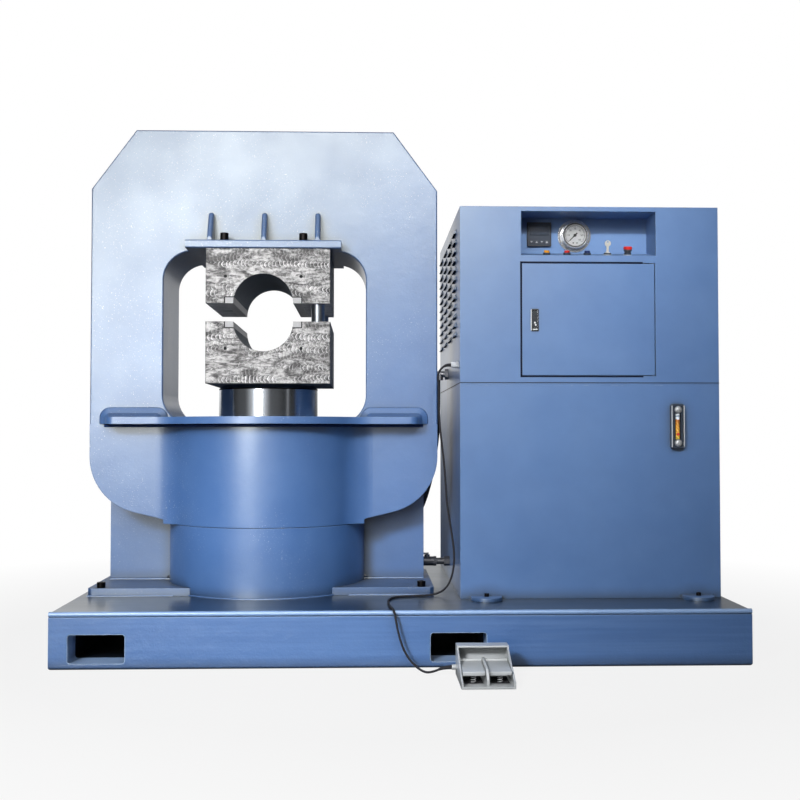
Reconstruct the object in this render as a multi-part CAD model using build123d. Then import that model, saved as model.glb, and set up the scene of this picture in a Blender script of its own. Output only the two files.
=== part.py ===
from build123d import *
import math
import os

# Hydraulic wire rope crimping press on a skid base, in millimetres.
# X runs right, Y back and Z up. The origin is the middle of the base, on the floor.

# Base skid
BASE_W = 2500.0
BASE_D = 1420.0
BASE_H = 200.0
DECK_T = 14.0
DECK_EDGE_R = 8.0
SKID_EDGE_R = 10.0
SKID_SEAM = 3.0
WALL_T = 12.0
FLANGE_W = 70.0
FLANGE_T = 12.0
FORK_W = 204.0
FORK_H = 105.0
FORK_R = 12.0
FORK_WALL = 8.0
FORK_MID_X = -444.0
FORK_PITCH = 1278.0
BEAM_W = 100.0
BEAM_T = 10.0
BEAM_SPREAD = 260.0

# Press frame and cylinder
PRESS_X = -541.0
PRESS_SETBACK = 685.0
FRAME_W = 1388.0
FRAME_T = 374.0
CROWN_H = 488.0
CHAMFER_X = 177.0
CHAMFER_Z = 239.0
FRAME_ARC_R = 230.0
FRAME_SLOPE = 13.5
FRAME_RISE = 18.0
EDGE_BREAK = 4.0
WINDOW_W = 812.0
WINDOW_R = 118.0
CYL_R = 400.0
CYL_BORE_R = 280.0
CYL_FLOOR_T = 90.0
CYL_BOTTOM_H = 271.0
BARREL_H = 397.0
BLEND_R = 150.0
SEAM_BEVEL = 3.0
GLAND_H = 130.0
GLAND_COLLAR_R = 236.0
GLAND_COLLAR_H = 14.0
WIPER_W = 14.0
WIPER_H = 8.0
SPANNER_HOLE_R = 8.0
SPANNER_HOLES = 8

# Shelf, stand and foot plates
SHELF_W = 1232.0
SHELF_T = 28.0
SHELF_EAR = 100.0
SHELF_EAR_R = 35.0
SHELF_LIP = 60.0
SHELF_WELD = 40.0
STAND_W = 1294.0
STAND_T = 30.0
RAT_HOLE_R = 16.0
FOOT_W = 1346.0
FOOT_D = 580.0
FOOT_T = 30.0
FOOT_CORNER = 15.0
FOOT_BOLT_INSET = 48.0
FOOT_BOLT_EDGE = 26.0
FOOT_BOLT_D = 22.0

# Dies and their holder
DIE_LEFT = 227.0
DIE_RIGHT = 264.5
DIE_D = 520.0
UPPER_DIE_H = 218.5
LOWER_DIE_H = 245.0
DIE_GAP = 72.0
DIE_BORE_R = 118.0
DIE_BEVEL = 2.0
INSERT_W = 37.0
INSERT_H = 25.0
INSERT_R = 8.0
DOWEL_HOLE_R = 5.0
DOWEL_HOLE_DEPTH = 40.0
DOWEL_HOLE_X = 149.0
DOWEL_HOLE_Z = 107.0
PIN_R = 27.0
PIN_X = 215.0
PIN_INSET = 42.0
PIN_GRIP = 150.0
PIN_REACH = 225.0
PIN_CLEARANCE = 0.08
HOLDER_W = 616.0
HOLDER_OUT = 82.0
HOLDER_T = 32.0
RIB_PITCH = 213.0
RIB_T = 21.0
RIB_H = 119.0
RIB_NOSE = 14.0
RIB_R = 9.0
DIE_BOLT_D = 22.0
DIE_BOLT_HEAD = 31.0
DIE_BOLT_PITCH = 313.0
DIE_BOLT_OUT = 54.0
DIE_BOLT_GRIP = 45.0

# Ram and piston
RAM_R = 204.0
RAM_SHOW = 160.5
RAM_BEVEL = 14.0
PISTON_H = 130.0
PISTON_LIFT = 110.0
PISTON_CLEARANCE = 0.5
RAM_CLEARANCE = 0.3
SEAL_H = 16.0
SEAL_DEPTH = 12.0

# Oil tank
TANK_X = 728.0
TANK_SETBACK = 284.0
TANK_W = 1003.0
TANK_D = 1110.0
TANK_H = 826.0
TANK_WALL = 6.0
LID_T = 10.0
TAB_W = 118.0
TAB_OUT = 92.0
TAB_T = 14.0
TAB_PITCH = 810.0
TAB_BOLT_D = 12.0
LEVEL_W = 51.0
LEVEL_H = 173.0
LEVEL_T = 20.0
LEVEL_RIGHT = 166.0
LEVEL_DROP = 168.0
LEVEL_SLOT_W = 22.0
LEVEL_SLOT_H = 98.0
LEVEL_BOLT_R = 12.5
LEVEL_BOLT_PITCH = 128.0

# Enclosure on the tank
SHEET = 3.0
RECESS_LEFT = 237.0
RECESS_W = 523.0
RECESS_H = 171.0
RECESS_D = 140.0
RECESS_RISE = 30.0
RECESS_SILL = 29.0
TOP_BAND = 18.0
DOOR_OPEN_W = 520.0
DOOR_OPEN_H = 438.0
DOOR_SILL = 26.0
DOOR_GAP = 3.0
DOOR_SHEET = 2.0
DOOR_RETURN = 20.0
HINGE_INSET = 6.0
HINGE_PIN_R = 3.0
HINGE_CLEARANCE = 0.08
HINGE_GRIP = 14.0
HINGE_LUG = 9.0
LATCH_W = 30.0
LATCH_H = 87.0
LATCH_LEFT = 37.0
LATCH_LIP = 3.0
LATCH_BODY_D = 16.0
HANDLE_W = 17.0
HANDLE_H = 56.0
HANDLE_T = 6.0
HANDLE_PIN_R = 1.5
HANDLE_GAP = 1.0
LATCH_KEY_R = 4.0
LATCH_KEY_UP = 11.0
LOUVRE_L = 118.0
LOUVRE_H = 20.0
LOUVRE_OUT = 9.0
LOUVRE_SKIN = 1.5
LOUVRE_PITCH_Y = 248.0
LOUVRE_PITCH_Z = 37.5
LOUVRE_FRONT = 243.0
LOUVRE_TOP = 64.0
LOUVRE_SILL = 200.0
LOUVRE_MARGIN = 30.0

# Controls in the recess
BUTTON_PITCH = 79.4
BUTTON_LEFT = 106.0
BUTTON_BACK = 42.0
BUTTON_BORE_R = 11.2
BEZEL_R = 14.6
BEZEL_H = 9.0
CAP_R = 10.9
CAP_H = 12.0
CAP_RISE = 8.0
CAP_STEM = 26.0
CAP_CLEARANCE = 0.3
CAP_TRAVEL = 3.2
STEM_LESS = 2.0
KEY_W = 9.0
KEY_T = 3.0
KEY_L = 25.0
KEY_BOW_R = 12.0
ESTOP_R = 17.0
ESTOP_H = 11.0
ESTOP_LIFT = 14.0
METER_W = 96.0
METER_BODY_W = 90.0
METER_FRONT_T = 10.0
METER_BODY_D = 68.0
METER_LEFT = 91.0
METER_DROP = 66.0
GAUGE_LEFT = 233.0
GAUGE_DROP = 70.0
GAUGE_FLANGE_R = 67.0
GAUGE_FLANGE_T = 4.0
GAUGE_CASE_R = 54.0
GAUGE_CASE_OUT = 22.0
GAUGE_BACK_D = 34.0
GAUGE_DIAL_R = 47.5
GAUGE_DIAL_DEPTH = 12.0
DIAL_T = 1.5
LENS_T = 2.0
LENS_SET = 1.5
NEEDLE_L = 38.0
NEEDLE_TAIL = 13.0
NEEDLE_T = 1.2
NEEDLE_W = 5.2
POST_R = 2.0
NEEDLE_REST = 225.0

# Switchgear behind the door
PLATE_BACK = 200.0
PLATE_T = 3.0
PLATE_FOOT = 60.0
RAIL_H = 35.0
RAIL_D = 8.0
RAIL_PITCH = 170.0
RAIL_LOW = 130.0
GEAR_LEFT = 50.0
BREAKER_W = 81.0
BREAKER_H = 88.0
BREAKER_D = 60.0
CONTACTOR_W = 54.0
CONTACTOR_H = 84.0
CONTACTOR_D = 80.0
CONTACTOR_PITCH = 62.0
CONTACTORS = 3
GEAR_NOSE = 12.0
TERMINAL_W = 11.0
TERMINAL_H = 56.0
TERMINAL_D = 42.0
TERMINALS = 12
RELAY_W = 150.0
RELAY_H = 100.0
RELAY_D = 75.0
GEAR_GAP = 20.0

# Motor, pump and valves on the tank lid
MOTOR_R = 140.0
MOTOR_L = 400.0
MOTOR_AXIS_H = 190.0
MOTOR_BACK = 740.0
MOTOR_RIGHT = 190.0
FIN_COUNT = 20
FIN_H = 16.0
FIN_T = 6.0
COWL_L = 85.0
COWL_WALL = 3.0
SHAFT_R = 19.0
SHAFT_CLEARANCE = 0.08
SHAFT_IN_PUMP = 24.0
COUPLING_R = 55.0
COUPLING_L = 66.0
FAN_R = 105.0
FAN_HUB_R = 34.0
FAN_W = 36.0
FAN_BLADES = 8
FAN_BLADE_T = 5.0
FAN_GAP = 17.0
COWL_HOLE_R = 8.0
MOTOR_FOOT_L = 60.0
MOTOR_FOOT_T = 16.0
TERMINAL_BOX_L = 120.0
TERMINAL_BOX_H = 84.0
BELL_R = 118.0
BELL_L = 112.0
BELL_WALL = 10.0
PUMP_R = 78.0
PUMP_L = 150.0
MANIFOLD_W = 190.0
MANIFOLD_D = 150.0
MANIFOLD_H = 110.0
MANIFOLD_LEFT = 90.0
MANIFOLD_BACK = 110.0
VALVE_BLOCK_W = 90.0
VALVE_BLOCK_D = 48.0
VALVE_BLOCK_H = 50.0
SOLENOID_R = 24.0
SOLENOID_L = 90.0
RELIEF_R = 14.0
RELIEF_L = 45.0

# Lines between the tank and the cylinder
HOSE_D = 22.0
FEED_ANGLE = 25.0
FEED_H = 130.0
FEED_STUB = 70.0
ELBOW_H = 66.0
ELBOW_BACK = 631.0
ELBOW_OUT = 44.0
NUT_AF = 41.0
NUT_L = 26.0
PIPE_R = 14.0
PIPE_BACK = 150.0
PIPE_H = 81.0
PIPE_NUT_AF = 36.0
PIPE_NUT_L = 24.0
VALVE_BACK = 97.0
VALVE_W = 56.0
VALVE_R = 20.0
LEVER_STEM_R = 6.0
LEVER_RISE = 36.0
LEVER_L = 74.0
LEVER_W = 14.0
LEVER_T = 6.0
STEM_CLEARANCE = 0.08

# Foot switch and its cable
PEDAL_X = 265.0
PEDAL_AHEAD = 92.0
PEDAL_W = 178.0
PEDAL_D = 240.0
PEDAL_H = 106.0
PEDAL_PLATE_T = 8.0
PEDAL_CHEEK = 6.0
PEDAL_HOOD_D = 58.0
PEDAL_NOSE_H = 22.0
PEDAL_RIB = 10.0
TREAD_L = 128.0
TREAD_T = 5.0
TREAD_SKIRT = 10.0
TREAD_TILT = 6.0
TREAD_FRONT = 44.0
TREAD_H = 58.0
TREAD_GAP = 2.0
AXLE_R = 4.0
AXLE_CLEARANCE = 0.08
CABLE_D = 8.0
CABLE_GRIP = 12.0
CABLE_SLACK = 0.3
GLAND_R = 12.0
GLAND_OUT = 30.0
GLAND_BACK = 70.0
GLAND_UP = 72.0
PEDAL_GLAND_BACK = 36.0
PEDAL_GLAND_H = 30.0
PEDAL_GLAND_OUT = 16.0
PEDAL_GLAND_R = 9.0

# Heights and depths that follow
FRONT_Y = -BASE_D / 2
DECK_Z = BASE_H
SEAM_Z = DECK_Z + CYL_BOTTOM_H
FLOOR_Z = SEAM_Z + BARREL_H
RAM_TOP_Z = FLOOR_Z + RAM_SHOW
LOWER_TOP_Z = RAM_TOP_Z + LOWER_DIE_H
UPPER_BOTTOM_Z = LOWER_TOP_Z + DIE_GAP
CEILING_Z = UPPER_BOTTOM_Z + UPPER_DIE_H
FRAME_TOP_Z = CEILING_Z + CROWN_H
FOOT_TOP_Z = DECK_Z + FOOT_T
PISTON_Z = DECK_Z + CYL_FLOOR_T + PISTON_LIFT
PRESS_Y = FRONT_Y + PRESS_SETBACK
AT_PRESS = Pos(PRESS_X, PRESS_Y, 0)
TANK_X0 = TANK_X - TANK_W / 2
TANK_X1 = TANK_X + TANK_W / 2
TANK_Y0 = FRONT_Y + TANK_SETBACK
TANK_Y1 = TANK_Y0 + TANK_D
LID_Z = DECK_Z + TANK_H
DOOR_Z0 = LID_Z + DOOR_SILL
DOOR_Z1 = DOOR_Z0 + DOOR_OPEN_H
RECESS_Z0 = DOOR_Z1 + RECESS_SILL
RECESS_Z1 = RECESS_Z0 + RECESS_H
ROOF_Z = RECESS_Z1 + TOP_BAND
OPEN_X0 = TANK_X0 + RECESS_LEFT
RECESS_X1 = OPEN_X0 + RECESS_W
DOOR_X1 = OPEN_X0 + DOOR_OPEN_W
PANEL_Y = TANK_Y0 + SHEET
RECESS_Y1 = PANEL_Y + RECESS_D


def block(x0, x1, y0, y1, z0, z1):
    """Box between two corners."""
    centre = Pos((x0 + x1) / 2, (y0 + y1) / 2, (z0 + z1) / 2)
    return centre * Box(x1 - x0, y1 - y0, z1 - z0)


def upright(x, y, z0, z1, radius):
    """Vertical round bar."""
    return Pos(x, y, (z0 + z1) / 2) * Cylinder(radius, z1 - z0)


def bar_x(x0, x1, y, z, radius):
    """Round bar along X."""
    return Pos((x0 + x1) / 2, y, z) * Rot(0, 90, 0) * Cylinder(radius, x1 - x0)


def bar_y(x, y0, y1, z, radius):
    """Round bar along Y."""
    return Pos(x, (y0 + y1) / 2, z) * Rot(90, 0, 0) * Cylinder(radius, y1 - y0)


def bar_along(start, direction, length, radius):
    """Round bar from a point along a direction."""
    plane = Plane(origin=start, z_dir=direction)
    return extrude(plane * Circle(radius), amount=length)


def hex_along(start, direction, length, across):
    """Hexagonal bar, such as a nut, from a point along a direction."""
    plane = Plane(origin=start, z_dir=direction)
    return extrude(plane * RegularPolygon(across / 2, 6, major_radius=False), amount=length)


def outline(*points):
    """Face inside a closed run of straight lines."""
    return make_face(Polyline(*points, close=True))


def front_slab(sketch, y0, y1):
    """Front view (X, Z) extruded between two depths."""
    return extrude(Plane.XZ.offset(-y0) * sketch, amount=y0 - y1)


def side_slab(sketch, x0, x1):
    """Side view (Y, Z) extruded between two widths."""
    return extrude(Plane.YZ.offset(x0) * sketch, amount=x1 - x0)


def plan_slab(sketch, z0, z1):
    """Plan (X, Y) extruded between two heights."""
    return extrude(Plane.XY.offset(z0) * sketch, amount=z1 - z0)


def socket_screw(x, y, z, size, grip, head_h=None):
    """Cap screw with its head standing on z and its shank below."""
    top = z + (head_h or size)
    head = upright(x, y, z, top, 0.75 * size)
    head = chamfer(head.edges().group_by(Axis.Z)[-1], 0.06 * size)
    hexagon = RegularPolygon(0.39 * size, 6, major_radius=False)
    key = plan_slab(Pos(x, y) * hexagon, top - 0.5 * size, top)
    return head - key + upright(x, y, z - grip, z, size / 2)


def group(*shapes, at=Pos(0, 0, 0)):
    """Separate solids kept in one node, moved to their place."""
    return Compound([at * solid for shape in shapes for solid in shape.solids()])


def base_frame():
    """Channel ring of the skid, with the fork openings in front and back."""
    top = BASE_H - DECK_T
    half_w = BASE_W / 2
    half_d = BASE_D / 2
    ring = block(-half_w, half_w, -half_d, half_d, 0, top)
    ring = fillet(ring.edges().group_by(Axis.Z)[0], SKID_EDGE_R)
    ring = chamfer(ring.edges().group_by(Axis.Z)[-1], SKID_SEAM)
    ring -= block(-half_w + WALL_T, half_w - WALL_T, -half_d + WALL_T, half_d - WALL_T, FLANGE_T, top)
    inner_w = half_w - FLANGE_W
    inner_d = half_d - FLANGE_W
    ring -= block(-inner_w, inner_w, -inner_d, inner_d, 0, FLANGE_T)
    for x in fork_centres():
        ring -= front_slab(Pos(x, fork_mid_z()) * RectangleRounded(FORK_W, FORK_H, FORK_R), -half_d, half_d)
    return ring


def fork_centres():
    """X of the two fork tunnels."""
    return [FORK_MID_X - FORK_PITCH / 2, FORK_MID_X + FORK_PITCH / 2]


def fork_mid_z():
    """Height of the middle of a fork tunnel."""
    return FLANGE_T + FORK_WALL + FORK_H / 2


def fork_tunnels():
    """Rectangular tubes for a forklift, from front wall to back wall."""
    reach = BASE_D / 2 - WALL_T
    tubes = []
    for x in fork_centres():
        outer = RectangleRounded(FORK_W + 2 * FORK_WALL, FORK_H + 2 * FORK_WALL, FORK_R + FORK_WALL)
        tube = outer - RectangleRounded(FORK_W, FORK_H, FORK_R)
        tubes.append(front_slab(Pos(x, fork_mid_z()) * tube, -reach, reach))
    return group(*tubes)


def base_beams():
    """I-beams across the skid, under the press, the middle and the tank."""
    reach = BASE_D / 2 - FLANGE_W
    height = BASE_H - DECK_T
    section = Rectangle(BEAM_W, height)
    for side in (-1, 1):
        hollow = Rectangle((BEAM_W - BEAM_T) / 2, height - 2 * BEAM_T)
        section -= Pos(side * (BEAM_W + BEAM_T) / 4, 0) * hollow
    places = [PRESS_X + i * BEAM_SPREAD for i in (-1, 0, 1)]
    places += [0, TANK_X - BEAM_SPREAD, TANK_X + BEAM_SPREAD]
    return group(*[front_slab(Pos(x, height / 2) * section, -reach, reach) for x in places])


def base_deck():
    """Top plate of the skid with a rounded edge and holes for the floor bolts."""
    deck = block(-BASE_W / 2, BASE_W / 2, -BASE_D / 2, BASE_D / 2, BASE_H - DECK_T, BASE_H)
    deck = fillet(deck.edges().group_by(Axis.Z)[-1], DECK_EDGE_R)
    for x, y in foot_bolt_places():
        deck -= upright(x, y, BASE_H - DECK_T, BASE_H, FOOT_BOLT_D / 2)
    for x, y in tab_bolt_places():
        deck -= upright(x, y, BASE_H - DECK_T, BASE_H, TAB_BOLT_D / 2)
    return deck


def foot_bolt_places():
    """Bolts in the outer corners of the foot plates."""
    dx = FOOT_W / 2 - FOOT_BOLT_INSET
    dy = FOOT_D / 2 - FOOT_BOLT_EDGE
    return [(PRESS_X + sx * dx, PRESS_Y + sy * dy) for sx in (-1, 1) for sy in (-1, 1)]


def tab_bolt_places():
    """Bolts in the middle of the tabs at the tank's foot."""
    y = TANK_Y0 - TAB_OUT + TAB_W / 2
    return [(TANK_X + side * TAB_PITCH / 2, y) for side in (-1, 1)]


def floor_bolts():
    """Cap screws that hold the foot plates and the tank tabs to the deck."""
    feet = [socket_screw(x, y, FOOT_TOP_Z, FOOT_BOLT_D, FOOT_T + DECK_T) for x, y in foot_bolt_places()]
    tabs = [socket_screw(x, y, DECK_Z + TAB_T, TAB_BOLT_D, TAB_T + DECK_T) for x, y in tab_bolt_places()]
    return group(*feet, *tabs)


def frame_outline():
    """Front view of the press frame: chamfered crown, round lower corners, sloping underside."""
    half = FRAME_W / 2
    shoulder = half - CHAMFER_X
    root_z = SEAM_Z + FRAME_RISE
    corner_z = root_z + (half - CYL_R) * math.tan(math.radians(FRAME_SLOPE))
    face = outline(
        (-CYL_R, root_z),
        (-CYL_R, SEAM_Z),
        (CYL_R, SEAM_Z),
        (CYL_R, root_z),
        (half, corner_z),
        (half, FRAME_TOP_Z - CHAMFER_Z),
        (shoulder, FRAME_TOP_Z),
        (-shoulder, FRAME_TOP_Z),
        (-half, FRAME_TOP_Z - CHAMFER_Z),
        (-half, corner_z),
    )
    lower = [v for v in face.vertices() if abs(v.X) > half - 1 and v.Y < corner_z + 1]
    return fillet(lower, FRAME_ARC_R)


def bulge_plan(half_w, half_d, radius, blend):
    """Plan of a plate with a round boss through it, blended with concave radii."""
    plan = Rectangle(2 * half_w, 2 * half_d) + Circle(radius)
    inner = [v for v in plan.vertices() if abs(v.X) < half_w - 1]
    return fillet(inner, blend)


def press_frame():
    """Thick one-piece frame with its window, and the cylinder barrel blended into its lower half."""
    half_t = FRAME_T / 2
    body = front_slab(frame_outline(), -half_t, half_t)
    window_mid = (FLOOR_Z + CEILING_Z) / 2
    window = Pos(0, window_mid) * RectangleRounded(WINDOW_W, CEILING_Z - FLOOR_Z, WINDOW_R)
    body -= front_slab(window, -half_t, half_t)
    rims = [e for e in body.edges() if abs(abs(e.center().Y) - half_t) < 0.01 and e.center().Z > FLOOR_Z + 1]
    body = chamfer(rims, EDGE_BREAK)
    barrel = plan_slab(bulge_plan(FRAME_W / 2, half_t, CYL_R, BLEND_R), SEAM_Z, FLOOR_Z)
    barrel = barrel & front_slab(frame_outline(), -CYL_R, CYL_R)
    body += barrel
    return AT_PRESS * (body - upright(0, 0, SEAM_Z, FLOOR_Z, CYL_BORE_R))


def feed_direction():
    """Plan direction of the pressure port on the cylinder."""
    angle = math.radians(FEED_ANGLE)
    return (math.cos(angle), math.sin(angle), 0)


def cylinder_bottom():
    """Lower cylinder section: a thick cup that stands on the deck."""
    cup = upright(0, 0, DECK_Z, SEAM_Z, CYL_R)
    cup = chamfer(cup.edges().group_by(Axis.Z)[-1], SEAM_BEVEL)
    cup -= upright(0, 0, DECK_Z + CYL_FLOOR_T, SEAM_Z, CYL_BORE_R)
    cup -= bar_along((0, 0, DECK_Z + FEED_H), feed_direction(), CYL_R, HOSE_D / 4)
    cup -= bar_x(0, CYL_R, PIPE_BACK, DECK_Z + PIPE_H, PIPE_R / 2)
    return AT_PRESS * cup


def cylinder_gland():
    """Screwed gland that closes the barrel round the ram, with spanner holes in its collar."""
    gland = upright(0, 0, FLOOR_Z - GLAND_H, FLOOR_Z, CYL_BORE_R)
    gland += upright(0, 0, FLOOR_Z, FLOOR_Z + GLAND_COLLAR_H, GLAND_COLLAR_R)
    gland -= upright(0, 0, FLOOR_Z - GLAND_H, FLOOR_Z + GLAND_COLLAR_H, RAM_R + RAM_CLEARANCE)
    ring_r = (RAM_R + WIPER_W + GLAND_COLLAR_R) / 2
    for spot in PolarLocations(ring_r, SPANNER_HOLES):
        hole = Cylinder(min(SPANNER_HOLE_R, (GLAND_COLLAR_R - RAM_R - WIPER_W) / 3), GLAND_COLLAR_H)
        gland -= Pos(0, 0, FLOOR_Z + GLAND_COLLAR_H) * spot * hole
    return AT_PRESS * gland


def gland_wiper():
    """Rubber wiper ring on the gland, round the ram."""
    inner = RAM_R + RAM_CLEARANCE
    bottom = FLOOR_Z + GLAND_COLLAR_H
    ring = upright(0, 0, bottom, bottom + WIPER_H, inner + WIPER_W)
    ring = chamfer(ring.edges().group_by(Axis.Z)[-1], WIPER_H / 2)
    return AT_PRESS * (ring - upright(0, 0, bottom, bottom + WIPER_H, inner))


def shelf_plates():
    """Shelf in front of and behind the frame, bulged round the barrel and welded to the frame."""
    half_t = FRAME_T / 2
    plan = bulge_plan(SHELF_W / 2, half_t + SHELF_EAR, CYL_R + SHELF_LIP, BLEND_R)
    ears = [v for v in plan.vertices() if abs(v.X) > SHELF_W / 2 - 1]
    plan = fillet(ears, SHELF_EAR_R)
    plan -= Rectangle(2 * SHELF_W, FRAME_T)
    plan -= Circle(GLAND_COLLAR_R + 2)
    plates = plan_slab(plan, FLOOR_Z, FLOOR_Z + SHELF_T)
    weld = shelf_weld()
    weld += mirror(weld, Plane.YZ)
    plates += weld + mirror(weld, Plane.XZ)
    return group(plates, at=AT_PRESS)


def shelf_weld():
    """Hollow weld round the shelf's right end in front of the frame, a steep step on a flat one."""
    leg = SHELF_WELD
    inner = WINDOW_W / 2 + EDGE_BREAK + leg / 3
    outer = SHELF_W / 2
    middle = Pos((inner + outer) / 2, FLOOR_Z + SHELF_T / 2)
    weld = block(inner, outer, -FRAME_T / 2 - leg, -FRAME_T / 2, FLOOR_Z, FLOOR_Z + SHELF_T)
    for out, rise, wide, narrow in ((0.0, 0.3, 1.0, 0.4), (0.3, 0.7, 0.4, 0.0)):
        grow = 2 * wide * leg
        sketch = RectangleRounded(outer - inner + grow, SHELF_T + grow, (wide + 0.1) * leg)
        plane = Plane.XZ.offset(FRAME_T / 2 + out * leg)
        taper = math.degrees(math.atan((wide - narrow) / rise))
        weld += extrude(plane * middle * sketch, amount=rise * leg, taper=taper)
    return weld - block(0, FRAME_W, -FRAME_T, FRAME_T, FLOOR_Z - 2 * leg, FLOOR_Z)


def stand_plates():
    """Upright plates under both wings of the frame, notched at the cylinder's foot."""
    half = STAND_W / 2
    profile = outline((0, FOOT_TOP_Z), (half, FOOT_TOP_Z), (half, FLOOR_Z), (0, FLOOR_Z))
    profile -= Pos(CYL_R, FOOT_TOP_Z) * Circle(RAT_HOLE_R)
    plate = front_slab(profile, -STAND_T / 2, STAND_T / 2)
    plate -= front_slab(frame_outline(), -STAND_T, STAND_T)
    plate -= upright(0, 0, DECK_Z, FLOOR_Z, CYL_R)
    right = plate.solids().sort_by(Axis.X)[-1]
    return group(right, mirror(right, Plane.YZ), at=AT_PRESS)


def foot_plates():
    """Foot plates under the stand plates, cut round the cylinder and bolted to the deck."""
    half_w = FOOT_W / 2
    half_d = FOOT_D / 2
    cut = FOOT_CORNER
    plan = outline(
        (0, -half_d),
        (half_w - cut, -half_d),
        (half_w, -half_d + cut),
        (half_w, half_d - cut),
        (half_w - cut, half_d),
        (0, half_d),
    )
    plan -= Circle(CYL_R)
    plate = plan_slab(plan, DECK_Z, FOOT_TOP_Z)
    plate = plate.solids().sort_by(Axis.X)[-1]
    plate = group(plate, mirror(plate, Plane.YZ), at=AT_PRESS)
    holes = [upright(x, y, DECK_Z, FOOT_TOP_Z, FOOT_BOLT_D / 2) for x, y in foot_bolt_places()]
    return group(*[solid - holes for solid in plate.solids()])


def die_bolt_places():
    """Bolts through both holder plates into the upper die, seen from the press axis."""
    dy = FRAME_T / 2 + DIE_BOLT_OUT
    return [(sx * DIE_BOLT_PITCH / 2, sy * dy) for sx in (-1, 1) for sy in (-1, 1)]


def die_rib(x):
    """Gusset behind the frame, with a round tip and rounded front edges."""
    back = FRAME_T / 2
    base = CEILING_Z + HOLDER_T
    nose = back + HOLDER_OUT - RIB_NOSE / 2
    profile = outline(
        (back, base),
        (nose, base),
        (nose, base + RIB_NOSE),
        (back + 2 * RIB_NOSE, base + RIB_H),
        (back, base + RIB_H),
    )
    tip = profile.vertices().group_by(Axis.Y)[-1].sort_by(Axis.X)[-1]
    rib = side_slab(fillet(tip, 2 * RIB_R), x - RIB_T / 2, x + RIB_T / 2)
    free = [e for e in rib.edges() if e.center().Z > base + RIB_NOSE + 1 and e.center().Y > back + 1]
    return fillet([e for e in free if abs(e.tangent_at(0.5).X) < 0.1], RIB_R)


def die_holders():
    """Ribbed plates on the frame's front and back that hold the upper die."""
    half_t = FRAME_T / 2
    top = CEILING_Z + HOLDER_T
    front = half_t + HOLDER_OUT
    plate = block(-HOLDER_W / 2, HOLDER_W / 2, half_t, front, CEILING_Z, top)
    plate = chamfer(plate.edges().filter_by(Axis.X).sort_by(Axis.Y)[-2:], EDGE_BREAK)
    for i in (-1, 0, 1):
        plate += die_rib(i * RIB_PITCH)
    for x, y in die_bolt_places():
        plate -= upright(x, abs(y), CEILING_Z, top, DIE_BOLT_D / 2)
    return group(plate, mirror(plate, Plane.XZ), at=AT_PRESS)


def die_bolts():
    """Cap screws that hang the upper die on the holder plates."""
    top = CEILING_Z + HOLDER_T
    grip = HOLDER_T + DIE_BOLT_GRIP
    bolts = [socket_screw(x, y, top, DIE_BOLT_D, grip, DIE_BOLT_HEAD) for x, y in die_bolt_places()]
    return group(*bolts, at=AT_PRESS)


def pin_places():
    """Guide pins at the right of the dies, front and back."""
    dy = DIE_D / 2 - PIN_INSET
    return [(PIN_X, -dy), (PIN_X, dy)]


def insert_profile(face_z, up):
    """Front view of a wear insert at the edge of a die bore, on the right of the axis."""
    x0 = DIE_BORE_R - 4
    x1 = DIE_BORE_R + INSERT_W - 3
    mid = face_z + up * INSERT_H / 2
    profile = Pos((x0 + x1) / 2, mid) * Rectangle(x1 - x0, INSERT_H)
    far = max(profile.vertices(), key=lambda v: v.X + up * v.Y)
    return fillet(far, INSERT_R) - Pos(0, face_z) * Circle(DIE_BORE_R)


def inserts(face_z, up):
    """Pair of wear inserts that run the full depth of a die."""
    right = front_slab(insert_profile(face_z, up), -DIE_D / 2, DIE_D / 2)
    return group(right, mirror(right, Plane.YZ), at=AT_PRESS)


def die_block(face_z, up, height):
    """Die half with its bore at the parting face, insert seats and front dowel holes."""
    half_d = DIE_D / 2
    back_z = face_z + up * height
    die = block(-DIE_LEFT, DIE_RIGHT, -half_d, half_d, min(face_z, back_z), max(face_z, back_z))
    die = chamfer(die.edges().filter_by(Axis.Z), DIE_BEVEL)
    die -= bar_y(0, -half_d, half_d, face_z, DIE_BORE_R)
    seat = front_slab(insert_profile(face_z, up), -half_d, half_d)
    die -= seat
    die -= mirror(seat, Plane.YZ)
    for side in (-1, 1):
        x = side * DOWEL_HOLE_X
        z = face_z + up * DOWEL_HOLE_Z
        die -= bar_y(x, -half_d, -half_d + DOWEL_HOLE_DEPTH, z, DOWEL_HOLE_R)
    return die


def upper_die():
    """Fixed upper die, seated against the top of the frame's window."""
    die = die_block(UPPER_BOTTOM_Z, 1, UPPER_DIE_H)
    for x, y in pin_places():
        die -= upright(x, y, UPPER_BOTTOM_Z, UPPER_BOTTOM_Z + PIN_GRIP, PIN_R)
    for x, y in die_bolt_places():
        die -= upright(x, y, CEILING_Z - DIE_BOLT_GRIP, CEILING_Z, DIE_BOLT_D / 2)
    return AT_PRESS * die


def lower_die():
    """Moving lower die on the ram, bored for the guide pins."""
    die = die_block(LOWER_TOP_Z, -1, LOWER_DIE_H)
    for x, y in pin_places():
        die -= upright(x, y, RAM_TOP_Z, LOWER_TOP_Z, PIN_R + PIN_CLEARANCE)
    return AT_PRESS * die


def guide_pins():
    """Pins pressed into the upper die that guide the lower one."""
    pins = []
    for x, y in pin_places():
        pin = upright(x, y, UPPER_BOTTOM_Z - PIN_REACH, UPPER_BOTTOM_Z + PIN_GRIP, PIN_R)
        pins.append(chamfer(pin.edges().group_by(Axis.Z)[0], PIN_R / 6))
    return group(*pins, at=AT_PRESS)


def ram():
    """Chromed ram between the piston and the lower die."""
    bar = upright(0, 0, PISTON_Z + PISTON_H, RAM_TOP_Z, RAM_R)
    return AT_PRESS * chamfer(bar.edges().group_by(Axis.Z)[-1], RAM_BEVEL)


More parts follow.
